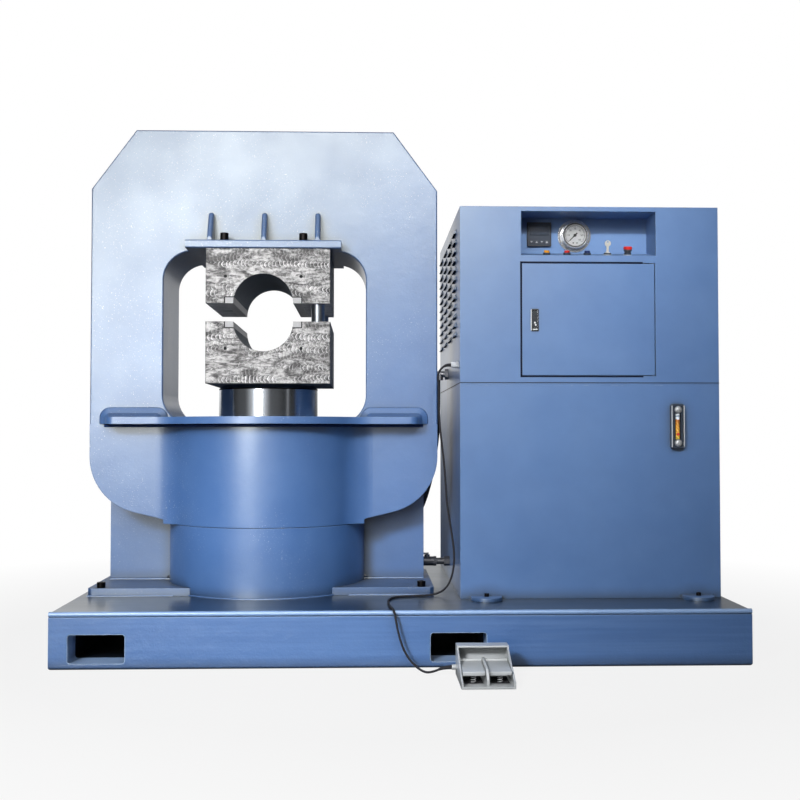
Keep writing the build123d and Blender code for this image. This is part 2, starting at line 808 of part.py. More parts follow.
def seal_heights():
    """Lower edges of the two seal grooves in the piston."""
    return [PISTON_Z + PISTON_H * share - SEAL_H / 2 for share in (0.3, 0.7)]


def piston():
    """Piston at the ram's foot, grooved for its seals."""
    radius = CYL_BORE_R - PISTON_CLEARANCE
    body = upright(0, 0, PISTON_Z, PISTON_Z + PISTON_H, radius)
    for z in seal_heights():
        body -= upright(0, 0, z, z + SEAL_H, radius) - upright(0, 0, z, z + SEAL_H, radius - SEAL_DEPTH)
    return AT_PRESS * body


def piston_seals():
    """Seal rings in the piston's grooves."""
    outer = CYL_BORE_R - PISTON_CLEARANCE
    inner = outer - SEAL_DEPTH
    ring = upright(0, 0, 0, SEAL_H, outer) - upright(0, 0, 0, SEAL_H, inner)
    rings = [Pos(0, 0, z) * ring for z in seal_heights()]
    return group(*rings, at=AT_PRESS)


def tank_body():
    """Welded oil tank, open at the top."""
    tank = block(TANK_X0, TANK_X1, TANK_Y0, TANK_Y1, DECK_Z, LID_Z - LID_T)
    inner_x0 = TANK_X0 + TANK_WALL
    inner_x1 = TANK_X1 - TANK_WALL
    inner_y0 = TANK_Y0 + TANK_WALL
    inner_y1 = TANK_Y1 - TANK_WALL
    tank -= block(inner_x0, inner_x1, inner_y0, inner_y1, DECK_Z + TANK_WALL, LID_Z - LID_T)
    tank -= bar_x(TANK_X0, inner_x0, PRESS_Y + PIPE_BACK, DECK_Z + PIPE_H, PIPE_R / 2)
    for z in level_bolt_heights():
        tank -= bar_y(level_x(), TANK_Y0, inner_y0, z, LEVEL_BOLT_R / 2)
    return tank


def tank_lid():
    """Tank lid that carries the motor, the valves and the enclosure."""
    return block(TANK_X0, TANK_X1, TANK_Y0, TANK_Y1, LID_Z - LID_T, LID_Z)


def tank_tabs():
    """Round-ended tabs at the tank's front foot."""
    tabs = []
    for x, y in tab_bolt_places():
        plan = Pos(x, y) * Circle(TAB_W / 2)
        plan += Pos(x, (y + TANK_Y0) / 2) * Rectangle(TAB_W, TANK_Y0 - y)
        plan -= Pos(x, TANK_Y0 + TAB_W / 2) * Rectangle(TAB_W, TAB_W)
        tab = plan_slab(plan, DECK_Z, DECK_Z + TAB_T)
        tabs.append(tab - upright(x, y, DECK_Z, DECK_Z + TAB_T, TAB_BOLT_D / 2))
    return group(*tabs)


def level_x():
    """X of the oil level gauge."""
    return TANK_X1 - LEVEL_RIGHT


def level_z():
    """Height of the middle of the oil level gauge."""
    return LID_Z - LEVEL_DROP


def level_bolt_heights():
    """Heights of the two hollow bolts of the level gauge."""
    return [level_z() - LEVEL_BOLT_PITCH / 2, level_z() + LEVEL_BOLT_PITCH / 2]


def level_gauge():
    """Level gauge housing with its two banjo bolts."""
    x = level_x()
    back = TANK_Y0
    front = back - LEVEL_T
    case = front_slab(Pos(x, level_z()) * RectangleRounded(LEVEL_W, LEVEL_H, LEVEL_W / 5), front, back)
    case = fillet(case.faces().sort_by(Axis.Y)[0].edges(), LEVEL_T / 5)
    sunk = Pos(x, level_z()) * Rectangle(LEVEL_W * 0.78, LEVEL_H * 0.9)
    case -= front_slab(sunk, front, front + 3)
    case -= front_slab(Pos(x, level_z()) * Rectangle(LEVEL_SLOT_W, LEVEL_SLOT_H), front, back - 4)
    for z in level_bolt_heights():
        bolt = bar_y(x, front - 2, front + 3, z, LEVEL_BOLT_R)
        bolt = fillet(bolt.edges().sort_by(Axis.Y)[0], 2)
        case += bolt + bar_y(x, front + 3, back + TANK_WALL, z, LEVEL_BOLT_R / 2)
    return case


def level_glass():
    """Sight tube of the level gauge."""
    z0 = level_z() - LEVEL_SLOT_H / 2
    z1 = level_z() + LEVEL_SLOT_H / 2
    radius = LEVEL_SLOT_W * 0.36
    return upright(level_x(), TANK_Y0 - 4 - radius, z0, z1, radius)


def louvre_places():
    """Row heights and column depths of the louvres that fit on a side wall."""
    columns = int((TANK_D - LOUVRE_FRONT - LOUVRE_L / 2 - LOUVRE_MARGIN) // LOUVRE_PITCH_Y) + 1
    rows = int((ROOF_Z - LID_Z - LOUVRE_TOP - LOUVRE_SILL) // LOUVRE_PITCH_Z) + 1
    depths = [TANK_Y0 + LOUVRE_FRONT + i * LOUVRE_PITCH_Y for i in range(columns)]
    heights = [ROOF_Z - LOUVRE_TOP - i * LOUVRE_PITCH_Z for i in range(rows)]
    return [(y, z) for y in depths for z in heights]


def louvre_hood():
    """Pressed hood of one louvre on the left wall, open below, about the origin."""
    half_l = LOUVRE_L / 2
    half_h = LOUVRE_H / 2
    skin = LOUVRE_SKIN
    wedge = Plane.XZ * outline((0, half_h), (-LOUVRE_OUT, -half_h), (0, -half_h))
    hollow = Plane.XZ * outline((0, half_h - 2 * skin), (-LOUVRE_OUT + skin, -half_h), (0, -half_h))
    hood = extrude(wedge, amount=half_l, both=True)
    return hood - extrude(hollow, amount=half_l - skin, both=True)


def enclosure_shell():
    """Sheet enclosure on the tank: roof, louvred sides and front with door and recess openings."""
    shell = block(TANK_X0, TANK_X1, TANK_Y0, TANK_Y1, LID_Z, ROOF_Z)
    shell -= block(TANK_X0 + SHEET, TANK_X1 - SHEET, PANEL_Y, TANK_Y1, LID_Z, ROOF_Z - SHEET)
    shell -= block(OPEN_X0, DOOR_X1, TANK_Y0, PANEL_Y, DOOR_Z0, DOOR_Z1)
    shell -= block(OPEN_X0, RECESS_X1, TANK_Y0, PANEL_Y, RECESS_Z0, RECESS_Z1)
    slot_l = LOUVRE_L - 2 * LOUVRE_SKIN
    slot_h = LOUVRE_H - 2 * LOUVRE_SKIN
    slots = []
    hoods = []
    for y, z in louvre_places():
        for x, wall in ((TANK_X0, 1), (TANK_X1, -1)):
            mid_x = x + wall * SHEET / 2
            slots.append(Pos(mid_x, y, z - LOUVRE_SKIN) * Box(SHEET, slot_l, slot_h))
            hood = louvre_hood() if wall == 1 else mirror(louvre_hood(), Plane.YZ)
            hoods.append(Pos(x, y, z) * hood)
    shell = shell - slots + hoods
    x, y, z = gland_point()
    shell -= bar_x(TANK_X0, TANK_X0 + SHEET, y, z, GLAND_R * 0.8)
    x, y, z = elbow_point()
    return shell - bar_x(TANK_X0, TANK_X0 + SHEET, y, z, HOSE_D / 2 + 3)


def rear_panel():
    """Removable rear panel of the enclosure."""
    return block(TANK_X0 + SHEET, TANK_X1 - SHEET, TANK_Y1 - SHEET, TANK_Y1, LID_Z, ROOF_Z - SHEET)


def recess_floor_angle():
    """Slope of the control panel, in degrees."""
    return math.degrees(math.atan2(RECESS_RISE, RECESS_D))


def control_recess():
    """Folded recess behind the front panel, with a sloping floor for the buttons."""
    outer = outline(
        (PANEL_Y, RECESS_Z0 - SHEET),
        (PANEL_Y, RECESS_Z1 + SHEET),
        (RECESS_Y1 + SHEET, RECESS_Z1 + SHEET),
        (RECESS_Y1 + SHEET, RECESS_Z0 + RECESS_RISE - SHEET),
    )
    inner = outline(
        (PANEL_Y, RECESS_Z0),
        (PANEL_Y, RECESS_Z1),
        (RECESS_Y1, RECESS_Z1),
        (RECESS_Y1, RECESS_Z0 + RECESS_RISE),
    )
    box = side_slab(outer, OPEN_X0 - SHEET, RECESS_X1 + SHEET) - side_slab(inner, OPEN_X0, RECESS_X1)
    for i in range(5):
        box -= button_plane(i) * Cylinder(BUTTON_BORE_R, 4 * SHEET)
    x, z = meter_centre()
    box -= front_slab(Pos(x, z) * Rectangle(METER_BODY_W, METER_BODY_W), RECESS_Y1, RECESS_Y1 + SHEET)
    x, z = gauge_centre()
    return box - bar_y(x, RECESS_Y1, RECESS_Y1 + SHEET, z, GAUGE_CASE_R)


def button_plane(i):
    """Frame on the sloping floor at control i, with Z out of the panel."""
    x = OPEN_X0 + BUTTON_LEFT + i * BUTTON_PITCH
    y = PANEL_Y + BUTTON_BACK
    z = RECESS_Z0 + BUTTON_BACK * RECESS_RISE / RECESS_D
    return Pos(x, y, z) * Rot(recess_floor_angle(), 0, 0)


def button_bezels():
    """Threaded bodies of the five controls, with their bezels on the panel."""
    bezels = []
    for i in range(5):
        bezel = Pos(0, 0, BEZEL_H / 2) * Cylinder(BEZEL_R, BEZEL_H)
        bezel = chamfer(bezel.edges().group_by(Axis.Z)[-1], BEZEL_H / 5)
        bezel += Pos(0, 0, -CAP_STEM / 2) * Cylinder(BUTTON_BORE_R, CAP_STEM)
        bezel += Pos(0, 0, -SHEET - 5) * extrude(RegularPolygon(BEZEL_R, 6, major_radius=False), amount=4)
        bore_r = CAP_R - STEM_LESS + CAP_CLEARANCE
        bezel -= Pos(0, 0, BEZEL_H / 2 - CAP_STEM / 4) * Cylinder(bore_r, BEZEL_H + CAP_STEM / 2)
        sunk = CAP_H - CAP_RISE + CAP_TRAVEL
        bezel -= Pos(0, 0, BEZEL_H - sunk / 2) * Cylinder(CAP_R + CAP_CLEARANCE, sunk)
        bezels.append(button_plane(i) * bezel)
    return group(*bezels)


def push_button(i):
    """Push button cap and stem, standing proud of bezel i."""
    lift = BEZEL_H + CAP_RISE - CAP_H
    cap = Pos(0, 0, lift + CAP_H / 2) * Cylinder(CAP_R, CAP_H)
    cap = fillet(cap.edges().group_by(Axis.Z)[-1], 1)
    stem_l = BEZEL_H + CAP_STEM / 8
    stem = Pos(0, 0, lift - stem_l / 2) * Cylinder(CAP_R - STEM_LESS, stem_l)
    return button_plane(i) * (cap + stem)


def key_switch():
    """Turning barrel of the key switch with its key standing in it."""
    barrel_r = CAP_R - STEM_LESS
    barrel = Pos(0, 0, BEZEL_H / 2 + 1) * Cylinder(barrel_r, BEZEL_H + 4)
    blade = Pos(0, 0, BEZEL_H + 2 + KEY_L / 2) * Box(KEY_W, KEY_T, KEY_L)
    bow_z = BEZEL_H + KEY_L + KEY_BOW_R - 1
    bow = Pos(0, 0, bow_z) * Rot(90, 0, 0) * Cylinder(KEY_BOW_R, KEY_T)
    bow -= Pos(0, 0, bow_z + KEY_BOW_R / 2) * Rot(90, 0, 0) * Cylinder(KEY_BOW_R / 4, KEY_T)
    return button_plane(3) * (barrel + blade + bow)


def estop_button():
    """Mushroom head of the emergency stop on its stem."""
    stem_r = CAP_R - STEM_LESS
    head = Pos(0, 0, BEZEL_H + ESTOP_LIFT + ESTOP_H / 2) * Cylinder(ESTOP_R, ESTOP_H)
    head = fillet(head.edges().group_by(Axis.Z)[-1], ESTOP_H * 0.45)
    stem_l = BEZEL_H + ESTOP_LIFT
    return button_plane(4) * (head + Pos(0, 0, stem_l / 2 + 1) * Cylinder(stem_r, stem_l - 2))


def meter_centre():
    """X and Z of the square panel meter."""
    return OPEN_X0 + METER_LEFT, RECESS_Z1 - METER_DROP


def panel_meter():
    """Square digital meter with a sunk display and four flush keys."""
    x, z = meter_centre()
    half = METER_W / 2
    front = RECESS_Y1 - METER_FRONT_T
    case = block(x - half, x + half, front, RECESS_Y1, z - half, z + half)
    case = chamfer(case.faces().sort_by(Axis.Y)[0].edges(), 3)
    body = METER_BODY_W / 2
    case += block(x - body, x + body, RECESS_Y1, RECESS_Y1 + METER_BODY_D, z - body, z + body)
    case -= block(x - half * 0.8, x + half * 0.8, front, front + 1.5, z - half * 0.1, z + half * 0.75)
    for i in range(4):
        key_x = x + (i - 1.5) * METER_W * 0.2
        key = Pos(key_x, z - half * 0.62) * RectangleRounded(METER_W * 0.13, METER_W * 0.08, 2)
        case += front_slab(key, front - 1, front)
    return case


def gauge_centre():
    """X and Z of the pressure gauge."""
    return OPEN_X0 + GAUGE_LEFT, RECESS_Z1 - GAUGE_DROP


def gauge_face_y():
    """Front edge of the pressure gauge."""
    return RECESS_Y1 - GAUGE_FLANGE_T - GAUGE_CASE_OUT


def gauge_case():
    """Pressure gauge case with its mounting flange and bezel ring."""
    x, z = gauge_centre()
    flange = bar_y(x, RECESS_Y1 - GAUGE_FLANGE_T, RECESS_Y1, z, GAUGE_FLANGE_R)
    flange = chamfer(flange.edges().sort_by(Axis.Y)[0], GAUGE_FLANGE_T / 3)
    for spot in PolarLocations((GAUGE_FLANGE_R + GAUGE_CASE_R) / 2, 3, start_angle=90):
        hole = Pos(x + spot.position.X, RECESS_Y1 - GAUGE_FLANGE_T / 2, z + spot.position.Y)
        flange -= hole * Rot(90, 0, 0) * Cylinder(2.5, GAUGE_FLANGE_T)
    ring = bar_y(x, gauge_face_y(), RECESS_Y1 + GAUGE_BACK_D, z, GAUGE_CASE_R)
    ring = fillet(ring.edges().sort_by(Axis.Y)[0], 3)
    return flange + ring - bar_y(x, gauge_face_y(), gauge_face_y() + GAUGE_DIAL_DEPTH, z, GAUGE_DIAL_R)


def gauge_dial():
    """White dial plate with the pointer's post."""
    x, z = gauge_centre()
    back = gauge_face_y() + GAUGE_DIAL_DEPTH
    dial = bar_y(x, back - DIAL_T, back, z, GAUGE_DIAL_R)
    return dial + bar_y(x, back - DIAL_T - 3, back - DIAL_T, z, POST_R)


def gauge_needle():
    """Pointer of the pressure gauge on its post, at its rest reading."""
    x, z = gauge_centre()
    y = gauge_face_y() + GAUGE_DIAL_DEPTH - DIAL_T - 1
    half = NEEDLE_W / 2
    blade = outline(
        (-NEEDLE_TAIL, -half),
        (0, -half),
        (NEEDLE_L, -half / 5),
        (NEEDLE_L, half / 5),
        (0, half),
        (-NEEDLE_TAIL, half),
    )
    blade += Circle(3 * POST_R)
    blade -= Circle(POST_R + SHAFT_CLEARANCE)
    return Pos(x, 0, z) * front_slab(Rot(0, 0, NEEDLE_REST) * blade, y - NEEDLE_T, y)


def gauge_lens():
    """Glass in front of the dial."""
    x, z = gauge_centre()
    front = gauge_face_y() + LENS_SET
    return bar_y(x, front, front + LENS_T, z, GAUGE_DIAL_R)


def hinge_axis():
    """X and Y of the door's pivot line."""
    return DOOR_X1 - DOOR_GAP - HINGE_INSET, TANK_Y0 + HINGE_INSET


def door():
    """Tray-shaped door of the switchgear, flush with the front panel."""
    x0 = OPEN_X0 + DOOR_GAP
    x1 = DOOR_X1 - DOOR_GAP
    z0 = DOOR_Z0 + DOOR_GAP
    z1 = DOOR_Z1 - DOOR_GAP
    back = TANK_Y0 + DOOR_RETURN
    tray = block(x0, x1, TANK_Y0, back, z0, z1)
    sheet = DOOR_SHEET
    tray -= block(x0 + sheet, x1 - sheet, TANK_Y0 + sheet, back, z0 + sheet, z1 - sheet)
    x, y = hinge_axis()
    tray -= upright(x, y, z0, z0 + DOOR_SHEET, HINGE_PIN_R + HINGE_CLEARANCE)
    tray -= upright(x, y, z1 - DOOR_SHEET, z1, HINGE_PIN_R + HINGE_CLEARANCE)
    x, z = latch_centre()
    body_w = LATCH_W - 2 * LATCH_LIP
    body_h = LATCH_H - 2 * LATCH_LIP
    half_w = body_w / 2
    return tray - block(x - half_w, x + half_w, TANK_Y0, TANK_Y0 + sheet, z - body_h / 2, z + body_h / 2)


def door_pivots():
    """Pivot pins of the door, on lugs behind the front panel."""
    x, y = hinge_axis()
    pivots = []
    for edge, side in ((DOOR_Z0, -1), (DOOR_Z1, 1)):
        seat = edge + side * HINGE_GRIP
        tip = edge - side * HINGE_GRIP
        pin = upright(x, y, min(seat, tip), max(seat, tip), HINGE_PIN_R)
        low = min(edge + side, seat)
        high = max(edge + side, seat)
        pivots.append(pin + block(x - HINGE_LUG, x + HINGE_LUG, PANEL_Y, PANEL_Y + 2 * HINGE_LUG, low, high))
    return group(*pivots)


def latch_centre():
    """X and Z of the door latch."""
    return OPEN_X0 + LATCH_LEFT + LATCH_W / 2, (DOOR_Z0 + DOOR_Z1) / 2 - 3.5


def handle_top():
    """Height of the latch handle's pivot."""
    return latch_centre()[1] + HANDLE_H / 2 + 4


def latch_plate():
    """Flush latch housing in the door, hollow for its handle, with a key barrel below."""
    x, z = latch_centre()
    face = front_slab(Pos(x, z) * RectangleRounded(LATCH_W, LATCH_H, 4), TANK_Y0 - LATCH_LIP, TANK_Y0)
    face = chamfer(face.faces().sort_by(Axis.Y)[0].edges(), 1)
    body_w = LATCH_W - 2 * LATCH_LIP
    body_h = LATCH_H - 2 * LATCH_LIP
    half_w = body_w / 2
    face += block(x - half_w, x + half_w, TANK_Y0, TANK_Y0 + LATCH_BODY_D, z - body_h / 2, z + body_h / 2)
    pocket_w = HANDLE_W + 2 * HANDLE_GAP
    top = handle_top() + 5
    floor = TANK_Y0 - LATCH_LIP + HANDLE_T + 5
    face -= block(x - pocket_w / 2, x + pocket_w / 2, TANK_Y0 - LATCH_LIP, floor, top - HANDLE_H - 7, top)
    face += bar_x(x - pocket_w / 2, x + pocket_w / 2, TANK_Y0 + 1, handle_top(), HANDLE_PIN_R)
    return face - bar_y(x, TANK_Y0 - LATCH_LIP, TANK_Y0, z - LATCH_H / 2 + LATCH_KEY_UP, LATCH_KEY_R)


def latch_handle():
    """Latch lever that swings out of its housing about the pin at its top."""
    x = latch_centre()[0]
    top = handle_top()
    y = TANK_Y0 + 1
    half = HANDLE_W / 2
    lever = block(x - half, x + half, y - HANDLE_T / 2, y + HANDLE_T / 2, top - HANDLE_H, top)
    lever += bar_x(x - half, x + half, y, top, HANDLE_T / 2)
    lever = fillet(lever.edges().filter_by(Axis.X).group_by(Axis.Z)[0], 1.5)
    return lever - bar_x(x - half, x + half, y, top, HANDLE_PIN_R + HINGE_CLEARANCE)


def plate_y():
    """Front face of the switchgear's mounting plate."""
    return TANK_Y0 + PLATE_BACK


def mounting_plate():
    """Switchgear plate on a folded foot, with its two rails."""
    y = plate_y()
    x0 = OPEN_X0 + 2 * DOOR_GAP
    x1 = DOOR_X1 - 2 * DOOR_GAP
    plate = block(x0, x1, y, y + PLATE_T, LID_Z, DOOR_Z1)
    plate += block(x0, x1, y, y + PLATE_FOOT, LID_Z, LID_Z + PLATE_T)
    for z in rail_heights():
        plate += block(x0 + 20, x1 - 20, y - RAIL_D, y, z - RAIL_H / 2, z + RAIL_H / 2)
    return plate


def rail_heights():
    """Heights of the two rails."""
    return [LID_Z + RAIL_LOW, LID_Z + RAIL_LOW + RAIL_PITCH]


def switchgear():
    """Breaker, contactors, terminals and a relay unit clipped on the rails."""
    low, high = rail_heights()
    face = plate_y() - RAIL_D
    start = OPEN_X0 + GEAR_LEFT
    units = [rail_unit(start, face, high, BREAKER_W, BREAKER_D, BREAKER_H)]
    for i in range(CONTACTORS):
        x = start + BREAKER_W + GEAR_GAP + i * CONTACTOR_PITCH
        units.append(rail_unit(x, face, high, CONTACTOR_W, CONTACTOR_D, CONTACTOR_H))
    for i in range(TERMINALS):
        x = start + i * (TERMINAL_W + 1)
        half_h = TERMINAL_H / 2
        units.append(block(x, x + TERMINAL_W, face - TERMINAL_D, face, low - half_h, low + half_h))
    x = start + TERMINALS * (TERMINAL_W + 1) + 2 * GEAR_GAP
    units.append(block(x, x + RELAY_W, face - RELAY_D, face, low - RELAY_H / 2, low + RELAY_H / 2))
    return group(*units)


def rail_unit(x, face, z, width, depth, height):
    """Stepped switch case on a rail, from its left edge."""
    case = block(x, x + width, face - depth, face, z - height / 2, z + height / 2)
    return case + block(x, x + width, face - depth - GEAR_NOSE, face, z - height / 4, z + height / 4)


def motor_y():
    """Depth of the motor's axis."""
    return TANK_Y0 + MOTOR_BACK


def motor_z():
    """Height of the motor's axis."""
    return LID_Z + MOTOR_AXIS_H


def motor_x1():
    """Right end of the motor's finned body, where the fan cowl starts."""
    return TANK_X1 - MOTOR_RIGHT


def motor():
    """Foot-mounted finned motor with end shield, terminal box and fan cowl."""
    x1 = motor_x1()
    x0 = x1 - MOTOR_L
    y = motor_y()
    z = motor_z()
    body = bar_x(x0, x1, y, z, MOTOR_R)
    for i in range(FIN_COUNT):
        angle = 360 * i / FIN_COUNT + 180 / FIN_COUNT
        fin = Pos(0, 0, MOTOR_R + FIN_H / 2 - 1) * Box(MOTOR_L * 0.8, FIN_T, FIN_H)
        body += Pos((x0 + x1) / 2, y, z) * Rot(angle, 0, 0) * fin
    foot_w = MOTOR_R * 1.7
    foot_half = MOTOR_FOOT_L / 2
    for x in (x0 + MOTOR_L / 5, x1 - MOTOR_L / 5):
        half_w = foot_w / 2
        body += block(x - foot_half, x + foot_half, y - half_w, y + half_w, LID_Z, LID_Z + MOTOR_FOOT_T)
        body += block(x - foot_half, x + foot_half, y - foot_w / 4, y + foot_w / 4, LID_Z, z - MOTOR_R / 2)
    box_x = (x0 + x1) / 2
    box_half = TERMINAL_BOX_L / 2
    box_top = z + MOTOR_R * 0.9 + TERMINAL_BOX_H
    body += block(box_x - box_half, box_x + box_half, y - box_half, y + box_half, z + MOTOR_R * 0.9, box_top)
    cowl = bar_x(x1, x1 + COWL_L, y, z, MOTOR_R)
    cowl -= bar_x(x1, x1 + COWL_L - COWL_WALL, y, z, MOTOR_R - COWL_WALL)
    for ring in (0.35, 0.6, 0.8):
        count = int(28 * ring)
        for spot in PolarLocations(MOTOR_R * ring, count):
            hole = Pos(x1 + COWL_L - COWL_WALL / 2, y + spot.position.X, z + spot.position.Y)
            cowl -= hole * Rot(0, 90, 0) * Cylinder(COWL_HOLE_R, COWL_WALL)
    return body + cowl - bar_x(x0, x1, y, z, SHAFT_R + SHAFT_CLEARANCE)


def motor_rotor():
    """Motor and pump shafts joined by their coupling, and the fan under the cowl."""
    x1 = motor_x1()
    x0 = x1 - MOTOR_L
    y = motor_y()
    z = motor_z()
    fan_x = x1 + FAN_GAP
    shaft = bar_x(x0 - BELL_L - SHAFT_IN_PUMP, fan_x + FAN_W, y, z, SHAFT_R)
    middle = x0 - (BELL_L - BELL_WALL) / 2
    shaft += bar_x(middle - COUPLING_L / 2, middle + COUPLING_L / 2, y, z, COUPLING_R)
    fan = bar_x(fan_x, fan_x + FAN_W, y, z, FAN_HUB_R)
    for i in range(FAN_BLADES):
        blade = Pos(0, 0, FAN_R / 2) * Box(FAN_W, FAN_BLADE_T, FAN_R)
        fan += Pos(fan_x + FAN_W / 2, y, z) * Rot(360 * i / FAN_BLADES, 0, 0) * blade
    return shaft + fan


def pump():
    """Bell housing round the coupling, and the piston pump on it."""
    x1 = motor_x1() - MOTOR_L
    x0 = x1 - BELL_L
    y = motor_y()
    z = motor_z()
    bell = bar_x(x0, x1, y, z, BELL_R) - bar_x(x0 + BELL_WALL, x1, y, z, BELL_R - BELL_WALL)
    window_z = z + BELL_R * 0.6
    bell -= block(x0 + 2 * BELL_WALL, x1 - 2 * BELL_WALL, y - BELL_R, y + BELL_R, window_z, z + BELL_R)
    body = bar_x(x0 - PUMP_L, x0, y, z, PUMP_R)
    body = chamfer(body.edges().sort_by(Axis.X)[0], PUMP_R / 8)
    port_y = PUMP_R * 1.25
    port_z = PUMP_R * 0.45
    body += block(x0 - PUMP_L * 0.7, x0 - PUMP_L * 0.3, y - port_y, y + port_y, z - port_z, z + port_z)
    foot_y = PUMP_R * 0.6
    body += block(x0 - PUMP_L * 0.75, x0 - PUMP_L * 0.25, y - foot_y, y + foot_y, LID_Z, z - PUMP_R * 0.7)
    seat = bar_x(x0 - SHAFT_IN_PUMP - SHAFT_CLEARANCE, x0 + BELL_WALL, y, z, SHAFT_R + SHAFT_CLEARANCE)
    return bell + body - seat


def manifold():
    """Valve block on the lid with its solenoids and pressure relief screw."""
    x0 = TANK_X0 + MANIFOLD_LEFT
    y0 = plate_y() + MANIFOLD_BACK
    mid = x0 + MANIFOLD_W / 2
    block_top = LID_Z + MANIFOLD_H
    body = block(x0, x0 + MANIFOLD_W, y0, y0 + MANIFOLD_D, LID_Z, block_top)
    for i in range(2):
        y = y0 + MANIFOLD_D * (0.27 + 0.46 * i)
        half_w = VALVE_BLOCK_W / 2
        half_d = VALVE_BLOCK_D / 2
        top = block_top + VALVE_BLOCK_H
        body += block(mid - half_w, mid + half_w, y - half_d, y + half_d, block_top, top)
        body += bar_x(mid - SOLENOID_L, mid + SOLENOID_L, y, block_top + VALVE_BLOCK_H / 2 + 2, SOLENOID_R)
    return body + bar_y(mid, y0 - RELIEF_L, y0, LID_Z + MANIFOLD_H / 2, RELIEF_R)


def feed_port():
    """End of the stub on the cylinder, where the pressure hose starts."""
    dx, dy, dz = feed_direction()
    reach = CYL_R + FEED_STUB
    return Vector(PRESS_X + reach * dx, PRESS_Y + reach * dy, DECK_Z + FEED_H)


def elbow_point():
    """Corner of the elbow on the enclosure's left wall."""
    return Vector(TANK_X0 - ELBOW_OUT, TANK_Y0 + ELBOW_BACK, LID_Z + ELBOW_H)


def hose_route():
    """Corner points of the pressure hose from the elbow down to the cylinder."""
    top = elbow_point() - Vector(0, 0, NUT_L)
    port = feed_port()
    out = Vector(*feed_direction())
    return [
        top,
        top + Vector(0, 0, -110),
        top + Vector(-3, 3, -240),
        top + Vector(-18, 6, -350),
        top + Vector(-34, 9, -440),
        top + Vector(-60, 13, -530),
        top + Vector(-92, 17, -600),
        port + out * 168 + Vector(10, -8, 42),
        port + out * 90,
        port,
    ]


def tube_radii(points):
    """Bend radius at each corner, from the shorter run beside it and the turn."""
    radii = []
    for before, corner, after in zip(points, points[1:], points[2:]):
        into = corner - before
        out = after - corner
        turn = math.radians(into.get_angle(out))
        radii.append(0.45 * min(into.length, out.length) / math.tan(turn / 2))
    return radii


def tube(points, diameter):
    """Round tube along corner points with tangent bends."""
    path = FilletPolyline(*points, radius=tube_radii(points))
    section = Plane(path ^ 0) * Circle(diameter / 2)
    return sweep(section, path=path), path.length


def feed_hose():
    """Pressure hose from the pump unit to the cylinder."""
    return tube(hose_route(), HOSE_D)[0]


def feed_fittings():
    """Wall elbow, hose nuts and the cylinder's stub for the pressure hose."""
    corner = elbow_point()
    radius = HOSE_D / 2 + 3
    elbow = bar_x(corner.X, TANK_X0 + SHEET, corner.Y, corner.Z, radius)
    elbow += Pos(corner.X, corner.Y, corner.Z) * Sphere(radius)
    elbow += hex_along(corner, (0, 0, -1), NUT_L, NUT_AF)
    elbow += hex_along((TANK_X0 - 14, corner.Y, corner.Z), (1, 0, 0), 14, NUT_AF)
    port = feed_port()
    out = Vector(*feed_direction())
    base = port - out * FEED_STUB
    stub = bar_along(base, out, FEED_STUB - NUT_L, radius)
    stub += hex_along(port - out * NUT_L, out, NUT_L, NUT_AF)
    stub -= Pos(PRESS_X, PRESS_Y, 0) * upright(0, 0, DECK_Z, SEAM_Z, CYL_R)
    return group(elbow, stub)


def pipe_ends():
    """X where the return pipe meets the cylinder and the tank, and its Y and Z."""
    x0 = PRESS_X + math.sqrt(CYL_R ** 2 - PIPE_BACK ** 2)
    return x0, TANK_X0, PRESS_Y + PIPE_BACK, DECK_Z + PIPE_H


def valve_x():
    """X of the shut-off valve in the return pipe."""
    return TANK_X0 - VALVE_BACK


def return_pipe():
    """Return pipe from the cylinder to the tank, with union nuts and a shut-off valve body."""
    x0, x1, y, z = pipe_ends()
    pipe = bar_x(x0 - PIPE_R, x1, y, z, PIPE_R)
    for x in (x0 + 20, x1 - PIPE_NUT_L):
        pipe += hex_along((x, y, z), (1, 0, 0), PIPE_NUT_L, PIPE_NUT_AF)
    mid = valve_x()
    pipe += bar_x(mid - VALVE_W / 2, mid + VALVE_W / 2, y, z, VALVE_R)
    for side in (-1, 1):
        start = mid + side * VALVE_W / 2
        pipe += hex_along((start, y, z), (side, 0, 0), PIPE_NUT_L / 2, PIPE_NUT_AF)
    pipe += upright(mid, y, z, z + VALVE_R + 8, 2 * LEVER_STEM_R)
    pipe -= upright(mid, y, z + VALVE_R - 6, z + VALVE_R + 8, LEVER_STEM_R + STEM_CLEARANCE)
    return pipe - AT_PRESS * upright(0, 0, DECK_Z, SEAM_Z, CYL_R)


def valve_lever():
    """Lever of the shut-off valve on its stem."""
    x0, x1, y, z = pipe_ends()
    mid = valve_x()
    top = z + LEVER_RISE
    lever = upright(mid, y, z + VALVE_R - 5, top, LEVER_STEM_R)
    lever += block(mid - LEVER_L, mid + LEVER_W / 2, y - LEVER_W / 2, y + LEVER_W / 2, top - LEVER_T, top)
    return fillet(lever.edges().filter_by(Axis.Z).group_by(Axis.X)[0], LEVER_W / 3)


def gland_point():
    """Mouth of the cable gland on the enclosure's left wall."""
    return Vector(TANK_X0 - GLAND_OUT, TANK_Y0 + GLAND_BACK, LID_Z + GLAND_UP)


def cable_gland():
    """Cable gland for the foot switch cable."""
    x, y, z = gland_point()
    body = bar_x(x, TANK_X0 + 2 * SHEET, y, z, GLAND_R * 0.8)
    body += hex_along((TANK_X0 - 9, y, z), (1, 0, 0), 9, 2 * GLAND_R)
    cap = bar_x(x, x + 18, y, z, GLAND_R)
    body += chamfer(cap.edges().sort_by(Axis.X)[0], GLAND_R / 4)
    return body - bar_x(x, x + CABLE_GRIP, y, z, CABLE_D / 2 + CABLE_SLACK)


